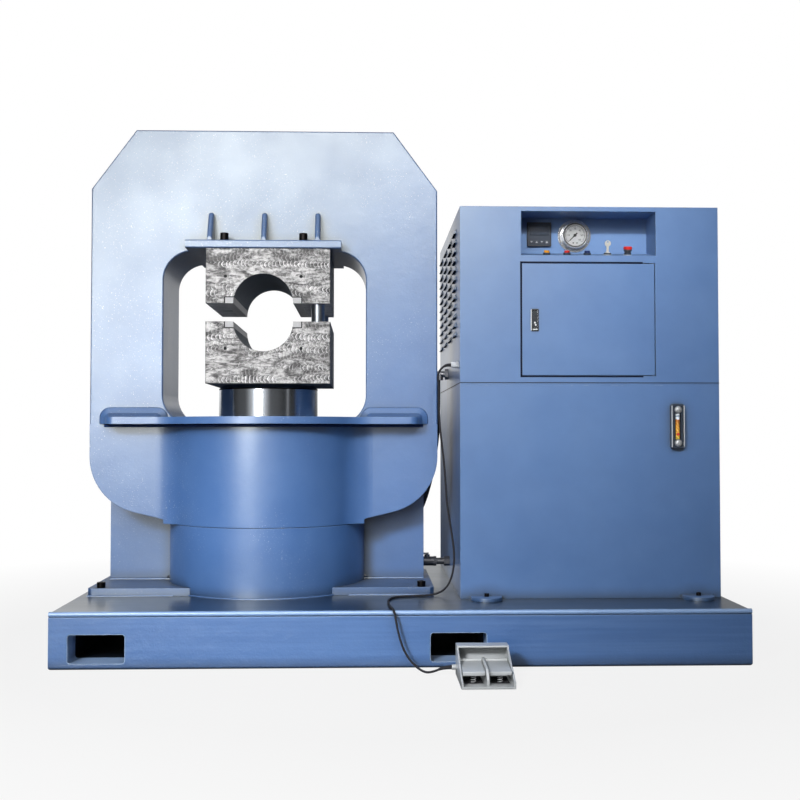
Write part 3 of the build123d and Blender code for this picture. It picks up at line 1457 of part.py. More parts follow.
def pedal_sides():
    """Left, right, front and back of the foot switch."""
    back = FRONT_Y - PEDAL_AHEAD
    return PEDAL_X - PEDAL_W / 2, PEDAL_X + PEDAL_W / 2, back - PEDAL_D, back


def axle_place():
    """Depth and height of the pedals' axle."""
    x0, x1, front, back = pedal_sides()
    return front + TREAD_FRONT + TREAD_L, TREAD_H


def pedal_gland_point():
    """Mouth of the cable sleeve on the foot switch's left cheek."""
    x0, x1, front, back = pedal_sides()
    return Vector(x0 - PEDAL_GLAND_OUT, back - PEDAL_GLAND_BACK, PEDAL_GLAND_H)


def pedal_rib():
    """Low rounded rib between the treads that carries the middle of the axle."""
    x0, x1, front, back = pedal_sides()
    y, z = axle_place()
    profile = outline(
        (front + 12, 0),
        (y + 3 * AXLE_R, 0),
        (y + 3 * AXLE_R, z + 3 * AXLE_R),
        (front + 40, z),
        (front + 12, z / 2),
    )
    top = [v for v in profile.vertices() if v.Y > 1]
    rib = side_slab(fillet(top, AXLE_R * 2), PEDAL_X - PEDAL_RIB / 2, PEDAL_X + PEDAL_RIB / 2)
    rims = [e for e in rib.edges() if e.center().Z > 1 and abs(e.tangent_at(0.5).X) < 0.1]
    return fillet(rims, PEDAL_RIB * 0.4)


def pedal_base():
    """Cast foot switch body: sole, cheeks, hood, rib, axle and cable sleeve."""
    x0, x1, front, back = pedal_sides()
    hood_y = back - PEDAL_HOOD_D
    cheek = outline(
        (front, 0),
        (back, 0),
        (back, PEDAL_H),
        (hood_y, PEDAL_H),
        (hood_y, PEDAL_H - 10),
        (front + 10, PEDAL_NOSE_H),
        (front, PEDAL_NOSE_H),
    )
    body = side_slab(cheek, x0, x0 + PEDAL_CHEEK) + side_slab(cheek, x1 - PEDAL_CHEEK, x1)
    body += block(x0, x1, front, back, 0, PEDAL_PLATE_T)
    body += block(x0, x1, back - PEDAL_CHEEK, back, 0, PEDAL_H)
    body += block(x0, x1, hood_y, back, PEDAL_H - PEDAL_CHEEK, PEDAL_H)
    y, z = axle_place()
    body += bar_x(x0, x1, y, z, AXLE_R) + pedal_rib()
    mouth = pedal_gland_point()
    body += bar_x(mouth.X, x0, mouth.Y, mouth.Z, PEDAL_GLAND_R)
    return body - bar_x(mouth.X, mouth.X + CABLE_GRIP, mouth.Y, mouth.Z, CABLE_D / 2 + CABLE_SLACK)


def tread(side):
    """Sprung tread plate on the axle, left (-1) or right (1) of the divider."""
    x0, x1, front, back = pedal_sides()
    y, z = axle_place()
    inner = PEDAL_RIB / 2 + TREAD_GAP
    outer = PEDAL_W / 2 - PEDAL_CHEEK - TREAD_GAP
    left = PEDAL_X + min(side * inner, side * outer)
    right = PEDAL_X + max(side * inner, side * outer)
    plate = block(left, right, -TREAD_L, 0, -TREAD_T / 2, TREAD_T / 2)
    plate += block(left, right, -TREAD_L, TREAD_T - TREAD_L, -TREAD_SKIRT, TREAD_T / 2)
    plate += bar_x(left, right, 0, 0, 2 * AXLE_R)
    plate = fillet(plate.edges().filter_by(Axis.X).group_by(Axis.Y)[0].sort_by(Axis.Z)[-1], 2)
    plate -= bar_x(left, right, 0, 0, AXLE_R + AXLE_CLEARANCE)
    return Pos(0, y, z) * Rot(TREAD_TILT, 0, 0) * plate


def cable_route():
    """Corner points of the foot switch cable, from its gland over the deck's edge to the foot switch."""
    lay = CABLE_D / 2 + 0.3
    deck = DECK_Z + lay
    return [
        gland_point() + Vector(CABLE_GRIP, 0, 0),
        gland_point() + Vector(-26, 0, 0),
        gland_point() + Vector(-48, 0, -22),
        Vector(150, -356, 1015),
        Vector(149, -354, 935),
        Vector(154, -352, 840),
        Vector(167, -350, 745),
        Vector(175, -348, 650),
        Vector(181, -346, 555),
        Vector(197, -343, 460),
        Vector(211, -340, 365),
        Vector(206, -336, 285),
        Vector(180, -334, 226),
        Vector(130, -352, deck),
        Vector(44, -368, deck),
        Vector(-22, -392, deck),
        Vector(-50, -458, deck),
        Vector(-52, -560, deck),
        Vector(-44, -650, deck),
        Vector(-38, -706, deck + 4),
        Vector(-32, -732, deck - 18),
        Vector(-22, -744, deck - 70),
        Vector(-4, -752, deck - 130),
        Vector(26, -772, 30),
        Vector(66, -806, lay),
        Vector(98, -830, lay + 8),
        pedal_gland_point() + Vector(-26, 0, 0),
        pedal_gland_point() + Vector(CABLE_GRIP, 0, 0),
    ]


def foot_cable():
    """Cable of the foot switch, lying as it is used."""
    return tube(cable_route(), CABLE_D)[0]


def report_tubes():
    """Print bend radii, lengths and volumes of the tubes."""
    for name, points, diameter in (("hose", hose_route(), HOSE_D), ("cable", cable_route(), CABLE_D)):
        solid, length = tube(points, diameter)
        share = solid.volume / (math.pi * diameter ** 2 / 4 * length)
        print(name, "length", round(length), "volume share", round(share, 3))
        print(name, "radii", [round(radius) for radius in tube_radii(points)])


PARTS = {
    "base_frame": base_frame,
    "base_deck": base_deck,
    "base_beams": base_beams,
    "fork_tunnels": fork_tunnels,
    "floor_bolts": floor_bolts,
    "press_frame": press_frame,
    "cylinder_bottom": cylinder_bottom,
    "cylinder_gland": cylinder_gland,
    "gland_wiper": gland_wiper,
    "shelf_plates": shelf_plates,
    "stand_plates": stand_plates,
    "foot_plates": foot_plates,
    "die_holders": die_holders,
    "die_bolts": die_bolts,
    "upper_die": upper_die,
    "upper_inserts": lambda: inserts(UPPER_BOTTOM_Z, 1),
    "guide_pins": guide_pins,
    "ram": ram,
    "piston": piston,
    "piston_seals": piston_seals,
    "lower_die": lower_die,
    "lower_inserts": lambda: inserts(LOWER_TOP_Z, -1),
    "tank_body": tank_body,
    "tank_lid": tank_lid,
    "tank_tabs": tank_tabs,
    "level_gauge": level_gauge,
    "level_glass": level_glass,
    "enclosure_shell": enclosure_shell,
    "rear_panel": rear_panel,
    "control_recess": control_recess,
    "button_bezels": button_bezels,
    "yellow_button": lambda: push_button(0),
    "red_button": lambda: push_button(1),
    "blue_button": lambda: push_button(2),
    "key_switch": key_switch,
    "estop_button": estop_button,
    "panel_meter": panel_meter,
    "gauge_case": gauge_case,
    "gauge_dial": gauge_dial,
    "gauge_needle": gauge_needle,
    "gauge_lens": gauge_lens,
    "door": door,
    "door_pivots": door_pivots,
    "latch_plate": latch_plate,
    "latch_handle": latch_handle,
    "mounting_plate": mounting_plate,
    "switchgear": switchgear,
    "motor": motor,
    "motor_rotor": motor_rotor,
    "pump": pump,
    "manifold": manifold,
    "feed_hose": feed_hose,
    "feed_fittings": feed_fittings,
    "return_pipe": return_pipe,
    "valve_lever": valve_lever,
    "cable_gland": cable_gland,
    "foot_cable": foot_cable,
    "pedal_base": pedal_base,
    "left_tread": lambda: tread(-1),
    "right_tread": lambda: tread(1),
}


os.makedirs("parts", exist_ok=True)
for node, make in PARTS.items():
    export_step(make(), "parts/" + node + ".step")
report_tubes()
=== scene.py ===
import math

import bmesh
import bpy
from mathutils import Matrix, Vector


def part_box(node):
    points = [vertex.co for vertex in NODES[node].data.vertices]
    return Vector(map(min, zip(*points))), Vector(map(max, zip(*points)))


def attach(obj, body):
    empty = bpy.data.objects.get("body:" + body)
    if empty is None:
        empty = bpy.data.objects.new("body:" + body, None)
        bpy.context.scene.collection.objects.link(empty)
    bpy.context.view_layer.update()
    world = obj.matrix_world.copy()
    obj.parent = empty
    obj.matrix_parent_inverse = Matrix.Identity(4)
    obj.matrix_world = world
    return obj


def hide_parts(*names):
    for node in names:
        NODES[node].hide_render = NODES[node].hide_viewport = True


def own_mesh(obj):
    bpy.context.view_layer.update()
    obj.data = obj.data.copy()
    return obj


# Looks of the wire rope crimping press. Metres; X runs right, Y back and Z up.

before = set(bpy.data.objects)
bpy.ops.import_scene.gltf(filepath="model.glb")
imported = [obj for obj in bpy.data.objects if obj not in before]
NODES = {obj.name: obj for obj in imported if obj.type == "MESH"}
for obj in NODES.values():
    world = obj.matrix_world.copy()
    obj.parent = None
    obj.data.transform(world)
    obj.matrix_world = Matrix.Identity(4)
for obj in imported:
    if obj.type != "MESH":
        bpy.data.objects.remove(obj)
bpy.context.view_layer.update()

FRONT = (0, -1, 0)
BACK = (0, 1, 0)
UP = (0, 0, 1)

# Camera of the photograph
CAMERA_PLACE = (-0.1384, -4.6132, 0.8319)
CAMERA_TURN = (91.74, 0.0, -1.83)
CAMERA_LENS = 49.26
SENSOR_W = 36.0

# Lamps: place, target, size, watts, spread in degrees, and whether reflections show them
LAMPS = {
    "key_left": ((-2.2, -5.0, 1.85), (-0.75, -0.2, 1.0), (1.4, 2.3), 12.5, 75.0, True),
    "key_top": ((-0.35, -5.0, 3.4), (-0.45, -0.2, 1.3), (3.0, 1.2), 22, 85.0, True),
    "fill_low": ((-2.41, -5.0, 2.7), (-0.1, -0.2, -0.25), (1.0, 0.7), 20.5, 42.0, False),
    "front_grid": ((0.75, -4.6, 3.45), (0.87, -0.4, 1.6), (0.3, 0.25), 4.6, 28.0, False),
    "back_wall": ((0.6, 6.0, 1.6), (0.1, 0.3, 1.0), (2.5, 2.0), 170, 180.0, False),
    "back_left": ((-4.5, 4.5, 1.6), (-0.5, 0.2, 1.0), (2.5, 2.0), 90, 180.0, False),
    "side_right": ((5.5, 1.2, 1.8), (0.8, 0.2, 1.0), (2.5, 2.0), 80, 180.0, False),
}
FLOOR_SIZE = 60

# Colours, as seen on a screen
WHITE = (255, 255, 255)
BLUE = (70, 111, 171)
BLUE_PALE = (108, 146, 200)
BLUE_DEEP = (54, 92, 148)
SHEET_BLUE = (76, 114, 168)
SKID_BLUE = (66, 105, 162)
# Deck blues painted darker than the other blues, as painted shade on the deck's dimly lit top
DECK_BLUE_SHADED = (34, 50, 76)
DECK_DEEP_SHADED = (24, 38, 60)
# Recess blues painted lighter than the sheet's, as painted light in the recess
RECESS_BLUE_LIT = (102, 134, 180)
RECESS_PALE_LIT = (128, 156, 196)
RECESS_DEEP_LIT = (84, 114, 158)
BARE_STEEL = (176, 186, 200)
# White of the dots painted as glints
GLINT_WHITE = (250, 252, 254)

# Paint: share of the deep tone in its clouds, rounding of edges, shares of the deep tone on upward faces and in
# painted shade, reaches of painted shade in corners and in hollows, and roughness added where it is dull
CLOUD_SHARE = 0.35
PAINT_EDGE_R = 0.004
UPWARD_DARK_SHARE = 0.5
CORNER_SHADE_SHARE = 0.3
CORNER_SHADE_REACH = 0.05
HOLLOW_SHADE_REACH = 0.25
DULL_ROUGH = 0.4

# Grain of turned and polished metal
TURNED = {"grain": (0.3, 0.3, 6), "scale": 60.0, "bump": 0.01}

# Milling of the dies: height of a row and its wander, feed of the cutter and its wander, shift between rows
ROW_H = 0.024
ROW_WANDER = 0.022
FEED = 0.015
FEED_WANDER = 0.012
ROW_SHIFT = 0.05

# Pitch of the slanting gleams in the sight tube
GLEAM_PITCH = 0.013

# Sloping switch panel: Y and Z of its line of switches, and the way it faces
PANEL_LINE = (-0.381, 1.528)
PANEL_NORMAL = (0.0, -0.2095, 0.9778)

# Thickness of raised print
PRINT_T = 0.0003

# Gauge scale: angles in degrees, steps and arcs, radius and width of its ring, inner radius and width of ticks,
# radius and height of numbers
SCALE_START = 225
SCALE_SWEEP = 270
SCALE_STEPS = 60
SCALE_ARCS = 90
SCALE_NUMBERS = 6
SCALE_R = 0.0385
SCALE_LINE = 0.0006
TICK_LONG = (0.0325, 0.0009)
TICK_SHORT = (0.0355, 0.0005)
NUMBER_R = 0.0262
NUMBER_H = 0.0095

# Panel meter: count of keys, then first left edge, pitch and width as shares of its width, height of their middle,
# half width and half height of their marks, and width of the rim
METER_KEYS = 4
KEY_FIRST = 0.09
KEY_PITCH = 0.215
KEY_W = 0.17
KEY_Z = 0.017
MARK_HALF_W = 0.005
MARK_HALF_H = 0.0035
METER_RIM = 0.0045

# Oil level gauge: width of rails, half pitch of screws, radius of the float, and ticks
RAIL_W = 0.0045
LEVEL_SCREW_Z = 0.064
FLOAT_R = 0.0062
LEVEL_TICKS = 9
LEVEL_PITCH = 0.005

# Gasket under the enclosure and seal of the door, both also painted shade in their seams, and screws of the rear
# panel
GASKET_W = 0.004
GASKET_T = 0.0025
GASKET_OUT = 0.0012
EDGE_SCREWS = 5
SCREW_INSET = 0.022
SEAL_GAP = 0.0075
SEAL_W = 0.0068
HINGE_ROOM = 0.045

# Dowel holes of the dies, across from the press's middle and up from the split faces
DOWEL_X = 0.149
DOWEL_Z = 0.107

# Foot switch: height of its floor, ribs of its pads, and its springs
SPRING_FOOT = 0.006
PAD_RIBS = 6
RIB_PITCH = 0.018
RIB_W = 0.006
SPRING_R = 0.008
SPRING_WIRE = 0.0012
SPRING_TURNS = 4

# Width of a wear insert on the die's face, its joint, and the middle of the gap between the dies
INSERT_W = 0.037
SEAM_W = 0.0044
SEAM_PROUD = 0.0003
SEAM_DEEP = 0.002
SPLIT_Z = 1.3095

# Drop of the dark line under the ram's top
RAM_LINE_DROP = 0.016

# Press frame's half thickness, the blend of its barrel, and the bead of painted shadow under the shelf
FRAME_HALF_T = 0.187
BLEND_R = 0.150
BLEND_STEPS = 8
SHELF_SHADOW_R = 0.006

# Forklift tunnels: inner width and height, corner, half outer width, and their liners
TUNNEL_INNER = (0.204, 0.105)
TUNNEL_R = 0.012
TUNNEL_HALF = 0.110
LINER_DEEP = 0.110
LINER_T = 0.002
LINER_GAP = 0.0002

# Foot switch cable, along its solid's route
CABLE_D = 0.008
CABLE_ROUTE = [
    (0.2085, -0.356, 1.098),
    (0.201, -0.356, 1.098),
    (0.179, -0.356, 1.098),
    (0.160, -0.356, 1.087),
    (0.147, -0.356, 1.066),
    (0.145, -0.356, 1.040),
    (0.150, -0.356, 1.015),
    (0.149, -0.354, 0.935),
    (0.154, -0.352, 0.840),
    (0.167, -0.350, 0.745),
    (0.175, -0.348, 0.650),
    (0.181, -0.346, 0.555),
    (0.197, -0.343, 0.460),
    (0.211, -0.340, 0.365),
    (0.206, -0.336, 0.285),
    (0.180, -0.334, 0.226),
    (0.130, -0.352, 0.2043),
    (0.044, -0.368, 0.2043),
    (-0.022, -0.392, 0.2043),
    (-0.050, -0.458, 0.2043),
    (-0.052, -0.560, 0.2043),
    (-0.044, -0.650, 0.2043),
    (-0.038, -0.702, 0.2083),
    (-0.031, -0.735, 0.188),
    (-0.022, -0.744, 0.1343),
    (-0.004, -0.752, 0.0743),
    (0.026, -0.772, 0.030),
    (0.066, -0.806, 0.0043),
    (0.098, -0.830, 0.0123),
    (0.134, -0.838, 0.030),
    (0.172, -0.838, 0.030),
]


def screen(colour):
    """Linear colour of a screen colour given as 0 to 255."""
    linear = []
    for value in colour:
        share = value / 255
        linear.append(share / 12.92 if share <= 0.04045 else ((share + 0.055) / 1.055) ** 2.4)
    return (*linear, 1.0)


def shade(colour, share, lift=0):
    """Linear colour of a screen colour made darker or lighter."""
    return screen([min(value * share + lift, 255) for value in colour])


class Shader:
    """A node tree under construction."""

    def __init__(self, owner):
        owner.use_nodes = True
        self.owner = owner
        self.nodes = owner.node_tree.nodes
        self.links = owner.node_tree.links
        self.surface = self.nodes.get("Principled BSDF")

    def add(self, kind, **settings):
        """New node with its settings."""
        node = self.nodes.new("ShaderNode" + kind)
        for key, value in settings.items():
            setattr(node, key, value)
        return node

    def put(self, value, socket):
        """Link an output to a socket, or set the socket to a constant."""
        if isinstance(value, bpy.types.NodeSocket):
            self.links.new(value, socket)
        else:
            socket.default_value = value

    def place(self, stretch=(1, 1, 1)):
        """Object position in metres, stretched per axis."""
        position = self.add("TexCoord").outputs["Object"]
        mapping = self.add("Mapping")
        self.put(position, mapping.inputs["Vector"])
        mapping.inputs["Scale"].default_value = stretch
        return mapping.outputs["Vector"]

    def axes(self, vector):
        """The three parts of a vector."""
        node = self.add("SeparateXYZ")
        self.put(vector, node.inputs[0])
        return node.outputs["X"], node.outputs["Y"], node.outputs["Z"]

    def noise(self, scale, detail=3.0, stretch=(1, 1, 1), roughness=0.55, swirl=0.0):
        """Noise between 0 and 1 at so many waves a metre."""
        node = self.add("TexNoise")
        self.put(self.place(stretch), node.inputs["Vector"])
        node.inputs["Scale"].default_value = scale
        node.inputs["Detail"].default_value = detail
        node.inputs["Roughness"].default_value = roughness
        node.inputs["Distortion"].default_value = swirl
        return node.outputs["Fac"]

    def math(self, operation, a, b=0.0):
        """One sum on one or two values."""
        node = self.add("Math", operation=operation)
        self.put(a, node.inputs[0])
        self.put(b, node.inputs[1])
        return node.outputs[0]

    def times(self, a, b):
        """Product of two values."""
        return self.math("MULTIPLY", a, b)

    def plus(self, a, b):
        """Sum of two values."""
        return self.math("ADD", a, b)

    def minus(self, a, b):
        """First value less the second."""
        return self.math("SUBTRACT", a, b)

    def spread(self, value, low, high, to_low=0.0, to_high=1.0):
        """Map a value range to another, clamped."""
        node = self.add("MapRange")
        self.put(value, node.inputs["Value"])
        node.inputs["From Min"].default_value = low
        node.inputs["From Max"].default_value = high
        node.inputs["To Min"].default_value = to_low
        node.inputs["To Max"].default_value = to_high
        return node.outputs["Result"]

    def ease(self, value, low, high):
        """0 at low and 1 at high, with soft ends."""
        node = self.add("MapRange", interpolation_type="SMOOTHSTEP")
        self.put(value, node.inputs["Value"])
        node.inputs["From Min"].default_value = low
        node.inputs["From Max"].default_value = high
        return node.outputs["Result"]

    def blend(self, share, first, second, kind="FLOAT"):
        """Blend two numbers."""
        node = self.add("Mix", data_type=kind)
        self.put(share, node.inputs["Factor"])
        self.put(first, node.inputs["A"])
        self.put(second, node.inputs["B"])
        return node.outputs["Result"]

    def mix(self, share, first, second):
        """Blend two colours."""
        return self.blend(share, first, second, "RGBA")

    def bump(self, height, strength, distance, normal=None):
        """Bump from a height value."""
        node = self.add("Bump")
        node.inputs["Strength"].default_value = strength
        node.inputs["Distance"].default_value = distance
        self.put(height, node.inputs["Height"])
        if normal is not None:
            self.put(normal, node.inputs["Normal"])
        return node.outputs["Normal"]

    def bevel(self, radius):
        """Normal with edges rounded by a radius."""
        node = self.add("Bevel", samples=4)
        node.inputs["Radius"].default_value = radius
        return node.outputs["Normal"]

    def edges(self, rounded):
        """1 along edges, where the rounded normal leaves the flat one, and 0 elsewhere."""
        dot = self.add("VectorMath", operation="DOT_PRODUCT")
        self.put(rounded, dot.inputs[0])
        self.put(self.add("NewGeometry").outputs["Normal"], dot.inputs[1])
        return self.spread(dot.outputs["Value"], 0.985, 0.86)

    def corners(self, reach):
        """Mask for painted shade: 1 deep in corners within a reach, and 0 on open faces."""
        node = self.add("AmbientOcclusion", samples=4)
        node.inputs["Distance"].default_value = reach
        return self.spread(node.outputs["AO"], 0.95, 0.45)

    def seen(self, path):
        """1 where the eye looks, straight or through glass."""
        return self.math("MAXIMUM", path.outputs["Is Camera Ray"], path.outputs["Is Transmission Ray"])

    def set(self, **sockets):
        """Fill inputs of the surface; underscores stand for spaces."""
        for key, value in sockets.items():
            self.put(value, self.surface.inputs[key.replace("_", " ")])


def new_shader(name):
    """Shader of a new material."""
    return Shader(bpy.data.materials.new(name))


def paint(name, colour, pale, deep, streak=(1, 1, 1), streaky=0.16, gloss=0.4, peel=0.5, coat=(0.85, 0.25),
          rim=0.45, chip=0.45, bloom_and_upward_dark=0.55, grime_and_corner_shade=0.85, hollow_shade=0.0, glint_share=0.0, dull=0.0, ior=1.85,
          sheen=(0.94, 1.0, 0.95, 1.0)):
    """Sprayed enamel: clouds, orange peel, darker tops, dirt and painted shade in corners, edges painted pale as
    highlight, chips.

    coat is the weight and roughness of the clear coat; dull takes gloss off sloping and upward faces.
    """
    s = new_shader(name)
    coat_weight, coat_rough = coat
    cloud = s.spread(s.noise(1.6, 4), 0.3, 0.7)
    streaks = s.spread(s.noise(9.0, 5, streak), 0.4, 0.75)
    base = s.mix(s.times(cloud, CLOUD_SHARE), screen(colour), screen(deep))
    base = s.mix(s.times(streaks, streaky), base, screen(pale))
    rounded = s.bevel(PAINT_EDGE_R)
    edge = s.edges(rounded)
    # Painted highlight with some wear: edges lightened towards the pale tone
    base = s.mix(s.times(edge, rim), base, screen(pale))
    chips = s.spread(s.noise(38.0, 5), 0.6, 0.66)
    base = s.mix(s.times(edge, s.times(chips, chip)), base, screen(BARE_STEEL))
    facing = s.axes(s.add("TexCoord").outputs["Normal"])[2]
    upward = s.spread(facing, 0.7, 0.95)
    sloping = s.spread(facing, 0.3, 0.6)
    # Upward faces darker towards the deep tone, in noisy patches
    upward_darkening = s.times(upward, s.spread(s.noise(6.0, 4), 0.3, 0.7, bloom_and_upward_dark - 0.15, bloom_and_upward_dark + 0.15))
    base = s.mix(upward_darkening, base, shade(deep, UPWARD_DARK_SHARE))
    # Painted glints: white dots in patches, standing in for sparkle in highlights
    patches = s.spread(s.noise(1.9, 3), 0.48, 0.6)
    glints = s.times(s.spread(s.noise(230.0, 2), 0.66, 0.72), patches)
    base = s.mix(s.times(glints, glint_share), base, screen(GLINT_WHITE))
    # Painted shade with some dirt: darker towards the deep tone in corners and broad hollows, by ambient occlusion
    for reach, share in ((HOLLOW_SHADE_REACH, hollow_shade), (CORNER_SHADE_REACH, grime_and_corner_shade)):
        base = s.mix(s.times(s.corners(reach), share), base, shade(deep, CORNER_SHADE_SHARE))
    s.set(Base_Color=base)
    rough = s.spread(s.noise(5.0, 4, streak), 0.25, 0.8, gloss - 0.05, gloss + 0.07)
    s.set(Roughness=s.plus(rough, s.times(sloping, DULL_ROUGH * dull)))
    waves = s.bump(s.noise(16.0, 3), peel, 0.004, rounded)
    s.set(Normal=s.bump(s.noise(120.0, 3), peel, 0.0012, waves))
    s.set(IOR=ior, Specular_IOR_Level=1.0, Specular_Tint=sheen)
    if dull:
        coat_weight = s.spread(sloping, 0.0, 1.0, coat_weight, coat_weight * (1 - dull))
    s.set(Coat_Weight=coat_weight, Coat_Roughness=coat_rough)
    return s.owner


def metal(name, colour, rough, spread=0.08, grain=(1, 1, 1), scale=120.0, bump=0.05, metallic=1.0):
    """Bare metal with a directional grain and brighter worn edges."""
    s = new_shader(name)
    grains = s.noise(scale, 4, grain)
    rounded = s.bevel(0.0015)
    tone = s.mix(s.times(grains, 0.4), screen(colour), shade(colour, 0.75))
    s.set(Base_Color=s.mix(s.times(s.edges(rounded), 0.5), tone, shade(colour, 1.25, 12)))
    s.set(Metallic=metallic)
    s.set(Roughness=s.spread(grains, 0.3, 0.7, rough - spread / 2, rough + spread / 2))
    s.set(Normal=s.bump(grains, bump, 0.0004, rounded))
    return s.owner


def plastic(name, colour, rough, grain=0.06):
    """Moulded plastic with a fine grain and rubbed edges."""
    s = new_shader(name)
    fine = s.noise(420.0, 2)
    broad = s.noise(14.0, 3)
    rounded = s.bevel(0.0008)
    tone = s.mix(s.times(broad, 0.25), screen(colour), shade(colour, 0.8))
    s.set(Base_Color=s.mix(s.times(s.edges(rounded), 0.3), tone, shade(colour, 1.2, 20)))
    s.set(Roughness=s.spread(fine, 0.3, 0.7, rough - 0.05, rough + 0.05))
    s.set(Normal=s.bump(fine, grain, 0.0003, rounded))
    return s.owner


def cutter_arcs(s):
    """Ragged rows of cutter arcs: their bright and dark flanks, the seams between rows, and each row's strength."""
    across, depth, height = s.axes(s.place())
    height = s.plus(height, s.spread(s.noise(5.0, 4), 0.2, 0.8, -ROW_WANDER, ROW_WANDER))
    row = s.math("DIVIDE", height, ROW_H)
    within = s.minus(s.math("FRACT", row), 0.5)
    bow = s.math("SQRT", s.minus(0.3, s.times(within, within)))
    jitter = s.add("TexWhiteNoise", noise_dimensions="1D")
    s.put(s.math("FLOOR", row), jitter.inputs["W"])
    draw = jitter.outputs["Value"]
    sweep = s.plus(s.plus(across, depth), s.times(bow, ROW_H))
    sweep = s.plus(sweep, s.times(draw, ROW_SHIFT))
    sweep = s.plus(sweep, s.spread(s.noise(30.0, 3), 0.0, 1.0, -FEED_WANDER, FEED_WANDER))
    phase = s.math("FRACT", s.math("DIVIDE", sweep, FEED))
    bright = s.spread(phase, 0.0, 0.35, 1.0, 0.0)
    dark = s.spread(phase, 0.66, 1.0)
    seam = s.spread(s.math("ABSOLUTE", within), 0.4, 0.5)
    band = s.spread(draw, 0.3, 0.7, 0.25, 1.0)
    return bright, dark, seam, band


def milled_steel(name):
    """Die steel: milled and smeared front and back, ground where the dies meet with painted light, painted shade on
    its other sides.
    """
    s = new_shader(name)
    bright, dark, seam, band = cutter_arcs(s)
    smear = s.spread(s.noise(8.0, 6, (1, 1, 2.6), 0.6, 1.4), 0.46, 0.6)
    grime_and_corner_shade = s.spread(s.noise(34.0, 5, (1, 1, 2.6), 0.66, 0.8), 0.43, 0.6)
    strong = s.times(band, s.spread(s.noise(9.0, 4, (1, 1, 1.6)), 0.38, 0.52))
    seam = s.times(seam, s.spread(grime_and_corner_shade, 0.0, 1.0, 0.3, 1.0))
    rounded = s.bevel(0.003)
    tone = s.mix(smear, screen((200, 199, 199)), screen((98, 97, 97)))
    for share, colour in (
            (s.times(grime_and_corner_shade, 0.75), (58, 58, 60)),
            (s.times(s.times(dark, strong), 0.92), (28, 28, 30)),
            (s.times(s.times(bright, strong), 0.95), (246, 246, 247)),
            (s.times(s.times(seam, band), 0.6), (50, 50, 52)),
            (s.times(s.edges(rounded), 0.6), (52, 52, 54))):
        tone = s.mix(share, tone, screen(colour))
    front, top = s.axes(s.add("TexCoord").outputs["Normal"])[1:]
    milled = s.spread(s.math("ABSOLUTE", front), 0.3, 0.7)
    split = s.math("ABSOLUTE", s.minus(s.axes(s.place())[2], SPLIT_Z))
    ground = s.times(s.spread(s.math("ABSOLUTE", top), 0.9, 0.98), s.spread(split, 0.06, 0.05))
    # Painted light: grinding lines where the dies meet, lighter than these faces would look in their shade
    lines = s.spread(s.noise(40.0, 4, (0.3, 4, 1)), 0.4, 0.65)
    unmilled_lit_and_shaded = s.mix(lines, screen((206, 207, 210)), screen((120, 122, 126)))
    # Painted shade: its other unmilled sides, the bore among them, are darker
    unmilled_lit_and_shaded = s.mix(ground, screen((84, 94, 106)), unmilled_lit_and_shaded)
    s.set(Base_Color=s.mix(milled, unmilled_lit_and_shaded, tone), Metallic=s.times(milled, 0.3))
    s.set(Roughness=s.blend(milled, 0.7, s.spread(grime_and_corner_shade, 0.0, 1.0, 0.38, 0.54)))
    s.set(Specular_IOR_Level=0.4)
    ridges = s.times(s.minus(s.minus(bright, dark), s.times(seam, 0.8)), strong)
    s.set(Normal=s.bump(ridges, 0.3, 0.0006, rounded))
    return s.owner


def rubber(name, colour, rough=0.55):
    """Black rubber with a dusty bloom."""
    s = new_shader(name)
    bloom_and_upward_dark = s.spread(s.noise(30.0, 4), 0.45, 0.8)
    s.set(Base_Color=s.mix(s.times(bloom_and_upward_dark, 0.12), screen(colour), screen((96, 98, 102))))
    s.set(Roughness=s.spread(s.noise(160.0, 2), 0.3, 0.7, rough - 0.06, rough + 0.08))
    s.set(Normal=s.bump(s.noise(260.0, 2), 0.08, 0.0003))
    return s.owner


def clear(name):
    """Clear glass with faint smears."""
    s = new_shader(name)
    smear = s.spread(s.noise(40.0, 3), 0.4, 0.8, 0.01, 0.05)
    s.set(Base_Color=screen(WHITE), Roughness=smear, Transmission_Weight=1.0, IOR=1.45)
    return s.owner


def oil_column(name, low, high):
    """Sight tube: dregs, amber oil with slanting gleams, then pale bands of empty glass above the oil."""
    s = new_shader(name)
    across, _, up = s.axes(s.place())
    wobble = s.spread(s.noise(60.0, 3), 0.0, 1.0, -0.03, 0.03)
    level = s.plus(s.spread(up, low, high), wobble)
    tone = s.mix(s.spread(level, 0.04, 0.16), screen((168, 160, 60)), screen((226, 148, 52)))
    slant = s.math("FRACT", s.math("DIVIDE", s.plus(up, across), GLEAM_PITCH))
    outside = s.spread(s.math("ABSOLUTE", s.minus(slant, 0.5)), 0.12, 0.3)
    tone = s.mix(outside, screen((240, 196, 74)), tone)
    for start, end, colour in (
            (0.4, 0.75, (196, 116, 44)),
            (0.76, 0.79, (214, 226, 236)),
            (0.86, 0.9, (88, 112, 140)),
            (0.92, 0.95, (226, 232, 236))):
        tone = s.mix(s.spread(level, start, end), tone, screen(colour))
    s.set(Base_Color=tone, Roughness=s.spread(s.noise(50.0, 2), 0.3, 0.7, 0.06, 0.14))
    s.set(Coat_Weight=0.6, Coat_Roughness=0.05)
    return s.owner


def finish_nodes(names, material):
    """Give CAD nodes one finish."""
    for name in names:
        mesh = NODES[name].data
        mesh.materials.clear()
        mesh.materials.append(material)


